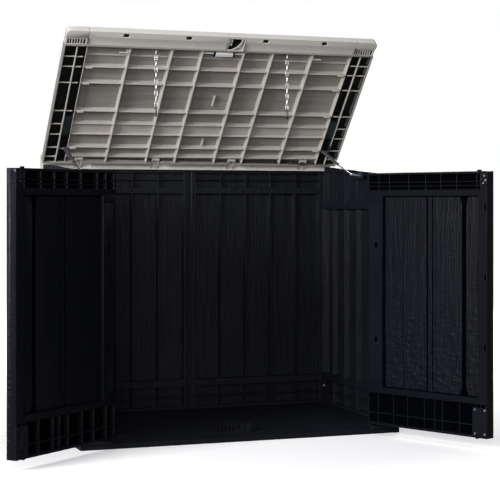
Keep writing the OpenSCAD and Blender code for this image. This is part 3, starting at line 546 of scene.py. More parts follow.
def put(piece, where=(0, 0, 0), turn=(0, 0, 0), scale=(1, 1, 1)):
    """Scales and turns a piece about the origin, moves it and leaves its place in its mesh."""
    choose(piece)
    piece.rotation_euler, piece.scale = turn, scale
    piece.location = Vector(where) * MM
    bpy.ops.object.transform_apply(location=True, rotation=True, scale=True)
    return piece


def mirrored(piece, name):
    """Copies a piece with its own mesh, mirrored left to right."""
    choose(piece)
    bpy.ops.object.duplicate(linked=False)
    twin = bpy.context.object
    twin.name = name
    put(twin, scale=(-1, 1, 1))
    choose(twin, edit=True)
    merge()
    bpy.ops.mesh.normals_make_consistent(inside=False)
    return shut()


def soften(piece, width=None, steps=2, angle=35):
    """Rounds a piece's edges and shades it smooth."""
    if width is None:
        width = bpy.context.scene.box_body.edge_round / MM
    add_modifier(
        piece, "BEVEL", width=width * MM, segments=steps, limit_method="ANGLE",
        angle_limit=math.radians(angle), use_clamp_overlap=True,
    )
    bpy.ops.object.shade_smooth_by_angle(angle=math.radians(38))
    add_modifier(piece, "WEIGHTED_NORMAL", keep_sharp=True)
    return piece


def on_lid(piece):
    """Puts a piece that was made round the lid's hinge pin on the open lid."""
    return put(piece, lid_pin, (-math.radians(LID_OPEN), 0, 0))


def on_door(piece, side):
    """Puts a piece that was made round the right door's pin on an open door."""
    turn = math.radians(DOOR_OPEN[side])
    return put(piece, (side * PIN_X, PIN_Y, 0), (0, 0, side * turn))


def dress(piece, body, finish, nodes=()):
    """Gives a piece its finish and lets it ride on a body in place of CAD nodes."""
    piece.data.materials.clear()
    piece.data.materials.append(finishes[finish])
    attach(piece, body)
    if nodes:
        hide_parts(*nodes)
    return piece


def dress_pair(piece, name, body, finish, node="", settle=None):
    """Dresses a right-hand piece and its mirror image, after settling both in place."""
    left = mirrored(piece, name + "_left")
    piece.name = name + "_right"
    for side, one in (("right", piece), ("left", left)):
        if settle:
            settle(one)
        dress(one, body, finish, [f"{node}_{side}"] if node else ())


def rounded_copy(node, name, body, finish, width):
    """Copies a small CAD node, merges it and rounds its edges."""
    choose(frame["nodes"][node])
    bpy.ops.object.duplicate(linked=False)
    piece = bpy.context.object
    piece.name = name
    piece.parent = None
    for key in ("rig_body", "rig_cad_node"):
        if key in piece:
            del piece[key]
    choose(piece, edit=True)
    merge()
    bpy.ops.mesh.dissolve_limited(angle_limit=math.radians(1))
    return dress(soften(shut(), width, angle=30), body, finish, [node])


def paint(node, finish):
    """Gives a CAD node a finish."""
    slots = frame["nodes"][node].data.materials
    slots.clear()
    slots.append(finishes[finish])


# The box itself


# The tray's edges and floor, and the sides of the walls and posts, on the right
HALF_WIDTH, FRONT, BACK, FLOOR = 730.0, -405.0, 405.0, 38.0
POST_X, WALL_IN, WALL_X = 652.0, 688.0, 720.0
POST_FRONT, POST_BACK = -402.0, -332.0
WALL_HEIGHT, WALL_SLOPE = 1142.0, math.tan(math.radians(CLOSED_SLOPE))
BAR = box_of("rear_bar")
GAP = 0.3


def wall_top(y):
    """Height of the side walls' tops at a place from front to back."""
    return FLOOR + WALL_HEIGHT + y * WALL_SLOPE


def spread(low, high, count):
    """Evenly spaced places from one end to the other."""
    return [low + i * (high - low) / count for i in range(count + 1)]


def ribbed(side, axis, ribs, levels, rows):
    """Cuts one side into a grid and presses rows of it in: each has two levels, a draft and a depth."""
    score(Z, levels, side)
    score(axis, ribs, side)
    for low, high, draft, depth in rows:
        cells = both(side, between(axis, ribs[0], ribs[-1]), between(Z, low, high))
        press(cells, 2, draft, depth)


class BOX_OT_tray(bpy.types.Operator):
    """Models the ribbed base tray with its sloping sill and the cups under the doors' pins"""

    bl_idname = "box.tray"
    bl_label = "Base tray"

    def execute(self, context):
        sill_back, sill_drop, rim = FRONT + 114, 17, 6
        block((-HALF_WIDTH, FRONT, 0), (HALF_WIDTH, BACK, FLOOR), "tray")
        score(Y, [sill_back])
        slide(lambda p: p.y < FRONT + SMALL and p.z > 30, 0, 0, -sill_drop)
        inside = HALF_WIDTH - rim
        score(X, spread(-inside, inside, 12)[1:-1], DOWN)
        score(Y, spread(BACK - rim, sill_back, 6)[1:-1], DOWN)
        press(both(DOWN, between(Y, sill_back, BACK)), 2, 1.5, FLOOR - 5)
        press(both(DOWN, between(Y, FRONT, sill_back), between(Z, -1, 1)), 3, 1.5, 14)
        deck = both(UP, between(Y, sill_back, BACK), between(Z, 37, 39))
        score(X, [-350, 0, 350], deck)
        press(deck, 10, 2, 1.5)
        tray = soften(shut(), 1.2)
        block((HALF_WIDTH - 9, POST_BACK - 3, FLOOR), (HALF_WIDTH - 2, BACK - 2, FLOOR + 8), "kerb")
        kerb = soften(shut(), 1.5)
        block((597, FRONT, 15), (HALF_WIDTH - 0.5, -320, FLOOR), "pad")
        score(X, [640, 690], UP)
        pad = soften(shut(), 2.5, 3)
        drum((PIN_X, PIN_Y, 34), (0, 0, 1), 8, 27, 48, "dish")
        press(UP, 3, 1, 6)
        dish = soften(carve(shut(), [solid((500, -460, 20), (HALF_WIDTH, FRONT, 60))]), 0.8)
        drum((PIN_X, PIN_Y, 30), (0, 0, 1), 15, 8, 32, "boss")
        press(UP, 2, 0.5, 1)
        boss = soften(shut(), 0.5)
        corner = gather([kerb, pad, dish, boss], "tray_corner")
        dress(tray, "body", "wall plain", ["base_tray"])
        dress_pair(corner, "tray_corner", "body", "wall plain")
        rounded_copy("door_stop", "sill_keep", "body", "fitting", 1.0)
        return {"FINISHED"}


class BOX_OT_walls(bpy.types.Operator):
    """Models the two side walls, planked outside and ribbed inside"""

    bl_idname = "box.walls"
    bl_label = "Side walls"

    def execute(self, context):
        front, back, step = POST_BACK + GAP, BACK - 3, BAR[0].y - GAP
        low_top, ridge = BAR[0].z - GAP, 12
        block((WALL_IN, front, FLOOR), (WALL_X, back, low_top), "wall")
        score(Y, [step])
        slide(lambda p: near(p.y, front) and p.z > 1000, 0, 0, wall_top(front) - ridge - low_top)
        extrude(both(UP, between(Y, front, step)), 0, 0, ridge)
        slide(lambda p: near(p.y, step) and p.z > low_top + 5, 0, 0, wall_top(step) - low_top - ridge)
        ribs = spread(front + 24, back - 24, 5)
        levels = [FLOOR + 12, FLOOR + 66, FLOOR + 120, FLOOR + 150, 1000, 1030]
        rows = ((levels[0], levels[2], 2, 27), (levels[3], levels[4], 5, 22), (levels[5], 2000, 2, 20))
        ribbed(LEFTWARD, Y, ribs, levels, rows)
        for y in ribs:
            groove(Y, y, 6, 3.5, (X, 1), (FLOOR + 60, 1060))
        dress_pair(soften(shut()), "wall", "body", "wall grain", "wall")
        return {"FINISHED"}


class BOX_OT_posts(bpy.types.Operator):
    """Models the two front posts, whose inner corners are cut back for the doors"""

    bl_idname = "box.posts"
    bl_label = "Front posts"

    def execute(self, context):
        top = wall_top(POST_FRONT)
        block((POST_X, POST_FRONT, FLOOR), (WALL_X, POST_BACK, top), "post")
        bevel(at(x=POST_X, y=POST_FRONT), 28)
        score(Z, spread(FLOOR, top, 6)[1:-1], REARWARD)
        press(REARWARD, 4, 2, 30)
        groove(Y, POST_BACK - 6, 4, 3, (X, 1), (100, 1090))
        dress_pair(soften(shut(), 2.2, 3), "post", "body", "wall plain", "post")
        return {"FINISHED"}


class BOX_OT_back(bpy.types.Operator):
    """Models the back: two planked panels and the upright between them"""

    bl_idname = "box.back"
    bl_label = "Back panels"

    def execute(self, context):
        low, high = box_of("back_right")
        block(low, high, "back")
        ribs = spread(low.x + 14, high.x - 14, 5)
        levels = [low.z + rise for rise in (12, 62, 112, 138)]
        levels += [high.z - fall for fall in (110, 84, 46, 12)]
        rows = ((levels[0], levels[2], 2, 23), (levels[3], levels[4], 5, 20), (levels[5], levels[7], 2, 23))
        ribbed(FORWARD, X, ribs, levels, rows)
        for x in ribs:
            groove(X, x, 6, 3.5, (Y, 1), (low.z + 60, high.z - 40))
        dress_pair(soften(shut()), "back", "body", "wall grain", "back")
        block(*box_of("back_seam"), "back_upright")
        press(facing(Y), 4, 2, 5)
        dress(soften(shut()), "body", "wall plain", ["back_seam"])
        return {"FINISHED"}


class BOX_OT_rear_bar(bpy.types.Operator):
    """Models the light bar behind the lid, with louvres along its front"""

    bl_idname = "box.rear_bar"
    bl_label = "Rear bar"

    def execute(self, context):
        low, high = BAR
        louvres_z, louvres_x = spread(low.z + 6, low.z + 48, 3), spread(-660, 660, 8)
        block(low, high, "rear_bar")
        bevel(at(y=high.y, z=high.z), 9, 4)
        score(Z, louvres_z, FORWARD)
        score(X, louvres_x, FORWARD)
        louvres = both(FORWARD, between(Z, louvres_z[0], louvres_z[-1]), between(X, -660, 660))
        press(louvres, 2.5, 2, 3)
        score(X, spread(-480, 480, 4), DOWN)
        press(DOWN, 4, 2, 50)
        dress(soften(shut()), "body", "lid rail", ["rear_bar"])
        return {"FINISHED"}


class BOX_OT_body_fittings(bpy.types.Operator):
    """Rounds the small fittings of the box: brackets, arms, plates, studs and door pins, and paints the
    screws and the lid's hinge pins
    """

    bl_idname = "box.body_fittings"
    bl_label = "Body fittings"

    def execute(self, context):
        for node, finish, slot, width in (
            ("corner_brackets", "fitting", "fitting", 1.5), ("door_arms", "fitting", "fitting", 0.8),
            ("lid_hinge_arms", "lid ribs", "lid_plastic", 0.8),
            ("strut_plate_left", "bracket", "bracket", 0.9), ("strut_plate_right", "bracket", "bracket", 0.9),
            ("wall_studs", "rod", "zinc", 0.5), ("door_pins", "zinc", "zinc", 0.4),
        ):
            rounded_copy(node, node + "_round", "body", finish, width)
        for node in ("rear_bar_screws", "wall_screws", "lid_hinge_pins"):
            paint(node, "zinc")
        return {"FINISHED"}


# Doors, made closed round the right door's pin: x runs from the pin to the outside


DOOR_FREE, DOOR_END, DOOR_LOW = -621.0, 24.5, 46.0
DOOR_TOP = box_of("door_right_shell")[1].z
# The shell's outside, where it meets the frame, and the frame's inside
OUTER, MIDDLE, INNER = -9.5, 10.0, 36.5
ARM_CUT = box_of("door_arms")[0].z - 0.5
CAP_X, CAP_Z = -587.0, DOOR_TOP - 60
BAY_FREE, BAY_END = -613.0, 16.5
STRIP_FREE, STRIP_END, STRIP_LOW, STRIP_HIGH = -55.0, 5.0, 242.0, DOOR_TOP - 132
PLANK_FREE, PLANK_END, PLANK_LOW, PLANK_HIGH = -576.5, -60.5, 212.0, DOOR_TOP - 102
PLATE_END, PLATE_LOW, PLATE_HIGH = -546.0, 53.0, 173.0
SLOT_DEPTH = 20
# Slots near the free edge and in the hinge strip: their middle and half their width and height
EDGE_SLOTS = [(DOOR_FREE + 10, DOOR_LOW + z, 4, 14) for z in (377, 671, 960)]
STRIP_SLOTS = [(-25.0, z, 6, 12) for z in (423.0, 840.0)]
SLOTS = EDGE_SLOTS + STRIP_SLOTS
RINGS = [(-25.0, 632.0), (DOOR_FREE + 28, PLANK_LOW + 0.496 * (PLANK_HIGH - PLANK_LOW))]
RING_OUT, RING_IN = 13, 7


def across(share):
    """The place at a share of the door's width, from the pin's end."""
    return DOOR_END - share * (DOOR_END - DOOR_FREE)


def hang_doors(piece, name, finish, node=""):
    """Copies a piece for the left door and hangs both on their pins."""
    left = mirrored(piece, name + "_left")
    piece.name = name + "_right"
    for side, s, one in (("right", 1, piece), ("left", -1, left)):
        dress(on_door(one, s), f"door_{side}", finish, [f"door_{side}_{node}"] if node else ())


def backing(low, high):
    """A thin black plate at the bottom of a door's gaps, slots and bays: painted shade where only shadow
    lies.
    """
    block(low, high, "backing")
    press(REARWARD, 1, 0.2, 0.1)
    return shut()


def open_ring(x, z, deep, high):
    """A C-shaped groove to cut, open towards the pin."""
    drum((x, deep, z), (0, 1, 0), high - deep, RING_OUT, 32, "ring")
    ring = shut()
    drum((x, deep - 1, z), (0, 1, 0), high - deep + 2, RING_IN, 32, "core")
    return carve(ring, [shut(), solid((x, deep - 1, z - 32), (x + 20, high + 1, z + 32))])


def slot_cutters(slots, rings, deep, high):
    """The shapes that cut a door's slots and C-shaped grooves."""
    cuts = [solid((x - w, deep, z - h), (x + w, high, z + h)) for x, z, w, h in slots]
    return cuts + [open_ring(x, z, deep, high) for x, z in rings]


class BOX_OT_door_shells(bpy.types.Operator):
    """Models the doors' outer shells with plank grooves"""

    bl_idname = "box.door_shells"
    bl_label = "Door shells"

    def execute(self, context):
        block((DOOR_FREE, OUTER, DOOR_LOW), (DOOR_END, MIDDLE, ARM_CUT), "door_shell")
        score(X, [-40])
        extrude(both(UP, between(X, DOOR_FREE, -40)), 0, 0, DOOR_TOP - ARM_CUT)
        for share in (0.16, 0.323, 0.49, 0.66, 0.83):
            groove(X, across(share), 6, 3.5, (Y, -1), (110, 1090))
        hang_doors(soften(shut(), 2.2, 3), "door_shell", "door grain", "shell")
        return {"FINISHED"}


class BOX_OT_door_frames(bpy.types.Operator):
    """Models the doors' inner frames with their ribbed bays, and black plates of painted shade in their gaps
    and bays
    """

    bl_idname = "box.door_frames"
    bl_label = "Door frames"

    def execute(self, context):
        low_ribs = [across(share) for share in (0.097, 0.23, 0.351, 0.493, 0.579, 0.642, 0.782, 0.913)]
        high_ribs = [across(share) for share in (0.101, 0.193, 0.36, 0.503, 0.627, 0.758, 0.918)]
        block((CAP_X, MIDDLE, DOOR_LOW), (DOOR_END, INNER, DOOR_TOP), "door_frame")
        score(Z, [CAP_Z])
        extrude(both(LEFTWARD, between(Z, DOOR_LOW, CAP_Z)), DOOR_FREE - CAP_X, 0, 0)
        levels = [54, 98, 188, PLANK_LOW, PLANK_HIGH, DOOR_TOP - 78, DOOR_TOP - 43, DOOR_TOP - 8]
        score(Z, levels, REARWARD)
        row = lambda first, last: both(REARWARD, between(Z, levels[first], levels[last]))
        score(X, [BAY_END, *low_ribs, BAY_FREE], row(0, 2))
        score(X, [BAY_END, *high_ribs, BAY_FREE], row(5, 7))
        score(X, [PLANK_FREE, PLANK_END], row(3, 4))
        press(both(row(0, 2), between(X, BAY_FREE, BAY_END)), 2, 1.6, 21)
        press(both(row(5, 7), between(X, CAP_X, BAY_END)), 2, 1.6, 21)
        press(both(row(3, 4), between(X, PLANK_FREE, PLANK_END)), 0, 1, 22)
        score(X, [-604], row(3, 4))
        body = shut()
        cuts = slot_cutters(SLOTS, RINGS, INNER - SLOT_DEPTH, INNER + 1)
        cuts.append(solid((STRIP_FREE, INNER - 4, STRIP_LOW), (STRIP_END, INNER + 1, STRIP_HIGH)))
        cuts.append(solid((DOOR_FREE - 1, INNER - 3, PLATE_LOW), (PLATE_END, INNER + 1, PLATE_HIGH)))
        hang_doors(soften(carve(body, cuts), 1.3), "door_frame", "door plain", "frame")
        # Painted shade: a black plate at the bottom of the plank gaps
        gaps = backing((-576, 14.3, PLANK_LOW + 0.5), (-61, 14.8, PLANK_HIGH - 0.5))
        # Painted shade: darkened plates on the floors of the ribbed bays, where the ribs' shadow falls
        low_bays = backing((-612, 15.3, levels[0] + 1), (16, 15.9, levels[2] - 1))
        high_bays = backing((-586, 15.3, levels[5] + 1), (16, 15.9, levels[7] - 1))
        hang_doors(gaps, "door_gap_backing", "deep black")
        hang_doors(gather([low_bays, high_bays], "bays"), "door_bay_backing", "bay dark")
        return {"FINISHED"}


class BOX_OT_door_planks(bpy.types.Operator):
    """Models the grained planks between the doors' rails"""

    bl_idname = "box.door_planks"
    bl_label = "Door planks"

    def execute(self, context):
        low, high, root = PLANK_LOW + 4, PLANK_HIGH - 4, 14
        boards = []
        for left, right, proud, cut_edge in (
            (-164, -66, 5, None), (-292, -166.5, 5, None), (-320, -299, 3, None),
            (-480, -327, 5, -480), (-572, -502, 4.5, -502),
        ):
            block((left, root, low), (right, root + 0.5 + proud, high), "board")
            if cut_edge:
                # Long chamfers at the corners beside the widest gap
                for level, inward in ((high, -25), (low, 25)):
                    bevel(at(x=cut_edge, z=level), 10)
                    slide(lambda p: near(p.x, cut_edge) and abs(p.z - level) < 12, 0, 0, inward)
            boards.append(soften(shut(), 0.8))
        hang_doors(gather(boards, "door_planks"), "door_planks", "door grain")
        return {"FINISHED"}


class BOX_OT_door_trim(bpy.types.Operator):
    """Models the doors' hinge strips, corner plates and corner caps"""

    bl_idname = "box.door_trim"
    bl_label = "Door trim"

    def execute(self, context):
        low = (STRIP_FREE + GAP, INNER - 4, STRIP_LOW + GAP)
        block(low, (STRIP_END - GAP, INNER, STRIP_HIGH - GAP), "door_strip")
        strip = soften(carve(shut(), slot_cutters(STRIP_SLOTS, RINGS[:1], 30, 40)), 0.8)
        hang_doors(strip, "door_strip", "door trim", "strip")
        # Painted shade: black plates behind the slots and C-shaped grooves, where only shadow lies
        behind, ahead, lap = INNER - 3, INNER - 2, 0.5
        inside = [
            backing((x - w - lap, behind, z - h - lap), (x + w + lap, ahead, z + h + lap))
            for x, z, w, h in SLOTS
        ]
        reach = RING_OUT + lap
        inside += [backing((x - reach, behind, z - reach), (x + lap, ahead, z + reach)) for x, z in RINGS]
        hang_doors(gather(inside, "slots"), "door_slot_backing", "deep black")
        low = (DOOR_FREE + GAP, INNER - 3, PLATE_LOW + GAP)
        block(low, (PLATE_END - GAP, INNER, PLATE_HIGH - GAP), "door_plate")
        press(REARWARD, 22, 2, 1.2)
        hang_doors(soften(shut(), 1.2, 3), "door_plate", "door trim", "plate")
        block((DOOR_FREE, MIDDLE, CAP_Z), (CAP_X - 0.2, INNER, DOOR_TOP), "door_cap")
        bevel(at(x=DOOR_FREE, z=DOOR_TOP), 7, 4)
        score(Z, [DOOR_TOP - 40, DOOR_TOP - 20], REARWARD)
        press(REARWARD, 3, 1, 4)
        hang_doors(soften(shut(), 1.2), "door_cap", "door trim", "cap")
        for side, screws in (("left", "fitting"), ("right", "zinc")):
            rounded_copy(
                f"door_{side}_catch", f"door_catch_{side}", f"door_{side}", "door trim", 1.5,
            )
            paint(f"door_{side}_screws", screws)
        return {"FINISHED"}


# The lid, made round its hinge pin: y runs back from the pin and z up from it


LID_LENGTH, LID_X = 721.88, 731.0
# Heights of the rims' lower edges, the lid's top and the underside of its skin
RIM, TOP, SKIN = -23.0, 18.0, 14.0
RIB_EDGE, RIB_ROOT = -18.0, SKIN + 0.5
# The rail's front and back, the lid's rear edge, and the slope behind the rail's lip
RAIL_FRONT, RAIL_Y, TAIL = -LID_LENGTH - 7, -651.88, 14.0
LIP, STEP = RAIL_FRONT + 30, RAIL_FRONT + 46
RAIL_ROUND = 12.0
LOCK_X = (7.0, 87.0)
# Each cross rib: its distance behind the lid's front edge, and the height of its own edge
CROSS_RIBS = {136: 6, 190: -13, 278: -13, 435: -13, 510: -10, 570: -10, 646: -12, 700: -12}
GUSSETS = (190, 278, 435, 646)


def at_front(distance):
    """The place along the lid at a distance behind the front edge of its top."""
    return distance - LID_LENGTH


def span_x(side, inner, outer):
    """The lowest and highest x of a span that lies on one side of the lid."""
    return sorted((side * inner, side * outer))


def rib(low, high, axis):
    """A rib that is thicker at its root: it runs along the other axis."""
    block(low, high, "rib")
    grow, root = [1.0, 1.0, 1.0], [(a + b) / 2 for a, b in zip(low, high)]
    grow[axis] += bpy.context.scene.box_lid.rib_draft / MM / (high[axis] - low[axis])
    root[Z] = high[Z]
    taper(UP, grow, root)
    return shut()


def cross_rib(low_x, high_x, distance, edge):
    """A thin rib across the lid, at a distance behind its front edge."""
    y = at_front(distance)
    return rib((low_x, y - 2, edge), (high_x, y + 2, RIB_ROOT), Y)


def tab(side, y):
    """A gusset that widens a cross rib where it meets the side rib."""
    low, high = span_x(side, 578, 624)
    block((low, y - 2.5, RIM + 0.5), (high, y + 2.5, SKIN), "tab")
    taper(DOWN, (0.6, 1, 1), (side * 604, y, RIM))
    return shut()


def peg(side, y):
    """A short peg that stands out from an outer long rib, on its lug."""
    drum((side * 434, y, -13), (side, 0, 0), 46, 4, 24, "peg")
    press(facing(X, side), 1, 0.5, -1)
    bar = shut()
    low, high = span_x(side, 433, 445)
    block((low, y - 9, -17), (high, y + 6, SKIN), "lug")
    taper(DOWN, (0.7, 0.8, 1), (side * 439, y, RIM))
    return gather([bar, shut()], "peg")


def cup(low, high, wall, depth):
    """A block with a deep hollow from below."""
    block(low, high, "cup")
    press(DOWN, wall, 0.2, depth)
    return shut()


class BOX_OT_lid_shell(bpy.types.Operator):
    """Models the lid's skin with its side rims"""

    bl_idname = "box.lid_shell"
    bl_label = "Lid shell"

    def execute(self, context):
        block((-LID_X, RAIL_Y, RIM), (LID_X, TAIL, TOP), "lid_shell")
        bevel(lambda p: near(abs(p.x), LID_X) and near(p.z, TOP), 7, 3)
        for x in (-487, -244, 0, 244, 487):
            groove(X, x, 5, 2.2, (Z, 1), (RAIL_Y + 30, TAIL - 30), along=Y)
        press(DOWN, 5, 1, SKIN - RIM)
        shell = shut()
        knuckles = (-560, -190, 190, 560)
        cuts = [solid((x - 21, 2, RIM - 1), (x + 21, TAIL + 1, SKIN - 0.5)) for x in knuckles]
        dress(on_lid(soften(carve(shell, cuts), 1.2)), "lid", "lid grain", ["lid_panel"])
        return {"FINISHED"}


class BOX_OT_lid_ribs(bpy.types.Operator):
    """Models the ribs under the lid, with the gussets and pegs, and painted shade lining the side channels'
    cells
    """

    bl_idname = "box.lid_ribs"
    bl_label = "Lid ribs"

    def execute(self, context):
        made = []
        for x in (98, 239, 433):
            for s in (-1, 1):
                made.append(rib((s * x - 2.6, RAIL_Y, RIB_EDGE), (s * x + 2.6, TAIL - 6, RIB_ROOT), X))
        made += [cross_rib(-626, 626, distance, edge) for distance, edge in CROSS_RIBS.items()]
        made.append(rib((-626, at_front(515), 4), (626, at_front(566), RIB_ROOT), Y))
        for s in (-1, 1):
            for x, half, edge in ((627, 1.5, -14), (672, 2.4, RIB_EDGE)):
                made.append(rib((s * x - half, RAIL_Y, edge), (s * x + half, TAIL - 4, RIB_ROOT), X))
            for distance in CROSS_RIBS:
                if distance <= 435:
                    made.append(cross_rib(*span_x(s, 638, 672), distance, -15))
                made.append(cross_rib(*span_x(s, 672, 727), distance, -15))
                if distance in GUSSETS:
                    made.append(tab(s, at_front(distance)))
            made.append(peg(s, at_front(106)))
        for y in (at_front(345), at_front(600)):
            made.append(rib((20, y, 2), (26, y + 60, RIB_ROOT), X))
        made = [soften(piece, 0.9) for piece in made]
        dress(on_lid(gather(made, "lid_ribs")), "lid", "lid ribs")
        # Painted shade: dark cups line every cell of the side channels, where the ribs' shadow falls
        painted_shade_pieces = []
        ends = [RAIL_Y + 2] + [at_front(distance) for distance in CROSS_RIBS] + [TAIL - 4]
        for s in (-1, 1):
            for inner, outer, stops in ((629, 669, ends[:5] + ends[-1:]), (675, 726, ends)):
                low, high = span_x(s, inner, outer)
                for front, back in zip(stops, stops[1:]):
                    painted_shade_pieces.append(cup((low, front + 3, -11), (high, back - 3, SKIN - 0.3), 0.5, 24))
        dress(on_lid(gather(painted_shade_pieces, "lid_channel_lining")), "lid", "lid dark")
        rounded_copy("lid_knuckles", "lid_knuckles_round", "lid", "lid ribs", 0.8)
        return {"FINISHED"}


def rail_block(start, end, name):
    """Opens a length of the lid's front rail, rounded along its upper front edge."""
    block((start, RAIL_FRONT, RIM), (end, RAIL_Y, TOP), name)
    bevel(at(y=RAIL_FRONT, z=TOP), RAIL_ROUND, 4)


def raise_step():
    """Raises the underside of a rail behind its lip."""
    score(Y, [LIP, STEP], lambda middle, normal: normal.z < -0.9 or abs(normal.x) > 0.9)
    slide(lambda p: p.y > STEP - SMALL and p.z < RIM + 1, 0, 0, 8)


class BOX_OT_front_rail(bpy.types.Operator):
    """Models the two lengths of the lid's front rail with the slots in their lip"""

    bl_idname = "box.front_rail"
    bl_label = "Front rail"

    def execute(self, context):
        low, high = at_front(1), at_front(19)
        for side, s, start in (("left", -1, -LOCK_X[0]), ("right", 1, LOCK_X[1])):
            rail_block(*span_x(s, start + 0.7, 630.4), f"front_rail_{side}")
            raise_step()
            rail = shut()
            slots = (s * 181, s * 467)
            cuts = [solid((x - 12.5, low, RIM - 1), (x + 12.5, high, RIM + 16)) for x in slots]
            rail = on_lid(soften(carve(rail, cuts), 1.4))
            dress(rail, "lid", "lid rail", [f"lid_front_{side}"])
            # Painted shade: dark cups line the slots, where only shadow lies
            painted_shade_cups = []
            for x in slots:
                corners = (x - 12.4, low + 0.1, RIM + 4), (x + 12.4, high - 0.1, RIM + 15.9)
                painted_shade_cups.append(cup(*corners, 0.8, 10))
            dress(on_lid(gather(painted_shade_cups, f"rail_slot_lining_{side}")), "lid", "lid dark")
        return {"FINISHED"}


class BOX_OT_corner_caps(bpy.types.Operator):
    """Models the rounded caps at the lid's front corners"""

    bl_idname = "box.corner_caps"
    bl_label = "Corner caps"

    def execute(self, context):
        turn, edge, fall = 16, 6.8, 7.8
        block((631.8, RAIL_FRONT, RIM), (LID_X, RAIL_Y, TOP), "corner_cap")
        bevel(at(x=LID_X, y=RAIL_FRONT), turn, 2)
        pick(UP)
        bpy.ops.mesh.inset(thickness=edge * MM, depth=0)
        bend = Vector((LID_X - turn, RAIL_FRONT + turn))
        outer = lambda p: p.x > bend.x and p.y < bend.y and (p.xy - bend).length > turn - 3
        rim = lambda p: p.x > LID_X - 1 or p.y < RAIL_FRONT + 1 or outer(p)
        slide(lambda p: p.z > TOP - SMALL and rim(p), 0, 0, -fall)
        raise_step()
        low, high, front, back = 640, 722, RAIL_Y - 27, RAIL_Y - 3
        underside = both(DOWN, between(Y, STEP, RAIL_Y))
        score(X, [low, high], underside)
        score(Y, [front, back], underside)
        press(both(DOWN, between(Y, front, back), between(X, low, high)), 0, 1, 12)
        cap, fins = shut(), []
        for x in (652, 664, 676, 688, 700, 711):
            block((x - 1.5, front + 1, RIM + 9.5), (x + 1.5, back - 1, RIM + 19), "fin")
            bevel(lambda p: True, 0.4)
            fins.append(shut())
        cap = gather([soften(cap, 1.3)] + fins, "corner_cap")
        # Painted shade: a dark cup in the hollow under the cap, and a dark plate in the seam beside the rail,
        # where only shadow lies
        hollow = cup((low + 1.5, front + 1.2, RIM + 9.5), (high - 1.5, back - 1.2, RIM + 19.9), 0.5, 9)
        seam = solid((630.5, RAIL_FRONT + 3, RIM + 3), (631.7, RAIL_Y - 6, TOP - 8))
        painted_shade_pieces = gather([hollow, seam], "cap_lining")
        dress_pair(painted_shade_pieces, "cap_lining", "lid", "lid dark", settle=on_lid)
        dress_pair(cap, "corner_cap", "lid", "lid rail", "lid_cap", on_lid)
        return {"FINISHED"}


def quarter(corner, radius, low, high, name):
    """A quarter-round block whose straight sides meet at a corner."""
    drum((*corner, low), (0, 0, 1), high - low, radius, 96, name)
    for axis in (X, Y):
        pick()
        bpy.ops.mesh.bisect(**plane(axis, corner[axis]), use_fill=True, clear_inner=True)
    return shut()


class BOX_OT_lock(bpy.types.Operator):
    """Models the lock case with its quarter-round pocket, and the grip behind it"""

    bl_idname = "box.lock"
    bl_label = "Lock and grip"

    def execute(self, context):
        x, y = LOCK_X[0] + 2, at_front(4)
        rail_block(LOCK_X[0] + 0.7, LOCK_X[1] - 0.7, "lock_case_round")
        case = carve(shut(), [quarter((x, y), 59, RIM - 1, 9, "pocket")])
        beside = solid((x, y, RIM - 2), (LOCK_X[1] - 5, RAIL_Y - 4, RIM + 16))
        beside = carve(beside, [quarter((x - 1, y - 1), 67, RIM - 3, RIM + 17, "arc")])
        case = on_lid(soften(carve(case, [beside]), 0.8))
        dress(case, "lid", "lid rail", ["lock_case"])
        # Painted shade: a dark cup lines the quarter-round pocket, and dark plates fill the seams between the
        # case and the rails, where only shadow lies
        painted_shade_pieces = quarter((x + 0.1, y + 0.1), 58.8, RIM + 2.5, 8.9, "lock_lining")
        choose(painted_shade_pieces, edit=True)
        press(DOWN, 0.8, 0.2, 28)
        painted_shade_pieces = [shut()]
        for x in LOCK_X:
            painted_shade_pieces.append(solid((x - 1.2, RAIL_FRONT + 3, RIM + 2.5), (x + 1.2, RAIL_Y - 2, TOP - 8)))
        dress(on_lid(gather(painted_shade_pieces, "lock_lining")), "lid", "lid dark")
        guides = []
        for x in (13, 21.5):
            for distance in (11, 29):
                front, back = at_front(distance), at_front(distance + 14)
                block((x, front, RIM + 3), (x + 5, back, 7.5), "guide")
                taper(DOWN, (0.7, 0.9, 1), (x + 2.5, (front + back) / 2, 0))
                guides.append(soften(shut(), 0.5))
        guides = on_lid(gather(guides, "lock_guides_round"))
        dress(guides, "lid", "light fitting", ["lock_guides"])
        grip_y, grip_z = at_front(97), -10
        drum((-37, grip_y, grip_z), (1, 0, 0), 81, 13.4, 6, "grip_sleeve")
        pick()
        bpy.ops.transform.rotate(
            value=math.radians(30), orient_axis="X", center_override=(0, grip_y * MM, grip_z * MM),
        )
        press(facing(X), 2, 1, 2)
        sleeve = on_lid(soften(shut(), 1.2, 3))
        dress(sleeve, "lid", "light fitting", ["handle_sleeve"])
        rounded_copy("handle_rod", "grip_rod", "lid", "light fitting", 0.6)
        rounded_copy("handle_brackets", "grip_brackets", "lid", "fitting", 1.2)
        return {"FINISHED"}


# Chains and struts


LINKS, LINK_LENGTH, WIRE, CLIP_WIRE = 10, 32.0, 3.0, 4.5


def link(length, width, wire, sides=12):
    """One welded link of round wire, hanging from the middle of its upper bend."""
    bpy.ops.object.select_all(action="DESELECT")
    bpy.ops.mesh.primitive_torus_add(
        major_radius=(width - wire) / 2 * MM, minor_radius=wire / 2 * MM,
        major_segments=32, minor_segments=sides, rotation=(math.pi / 2, 0, 0),
    )
    open_piece("link")
    score(Z, [0])
    slide(lambda p: p.z < -SMALL, 0, 0, width - length)
    pick()
    bpy.ops.mesh.faces_shade_smooth()
    return shut()


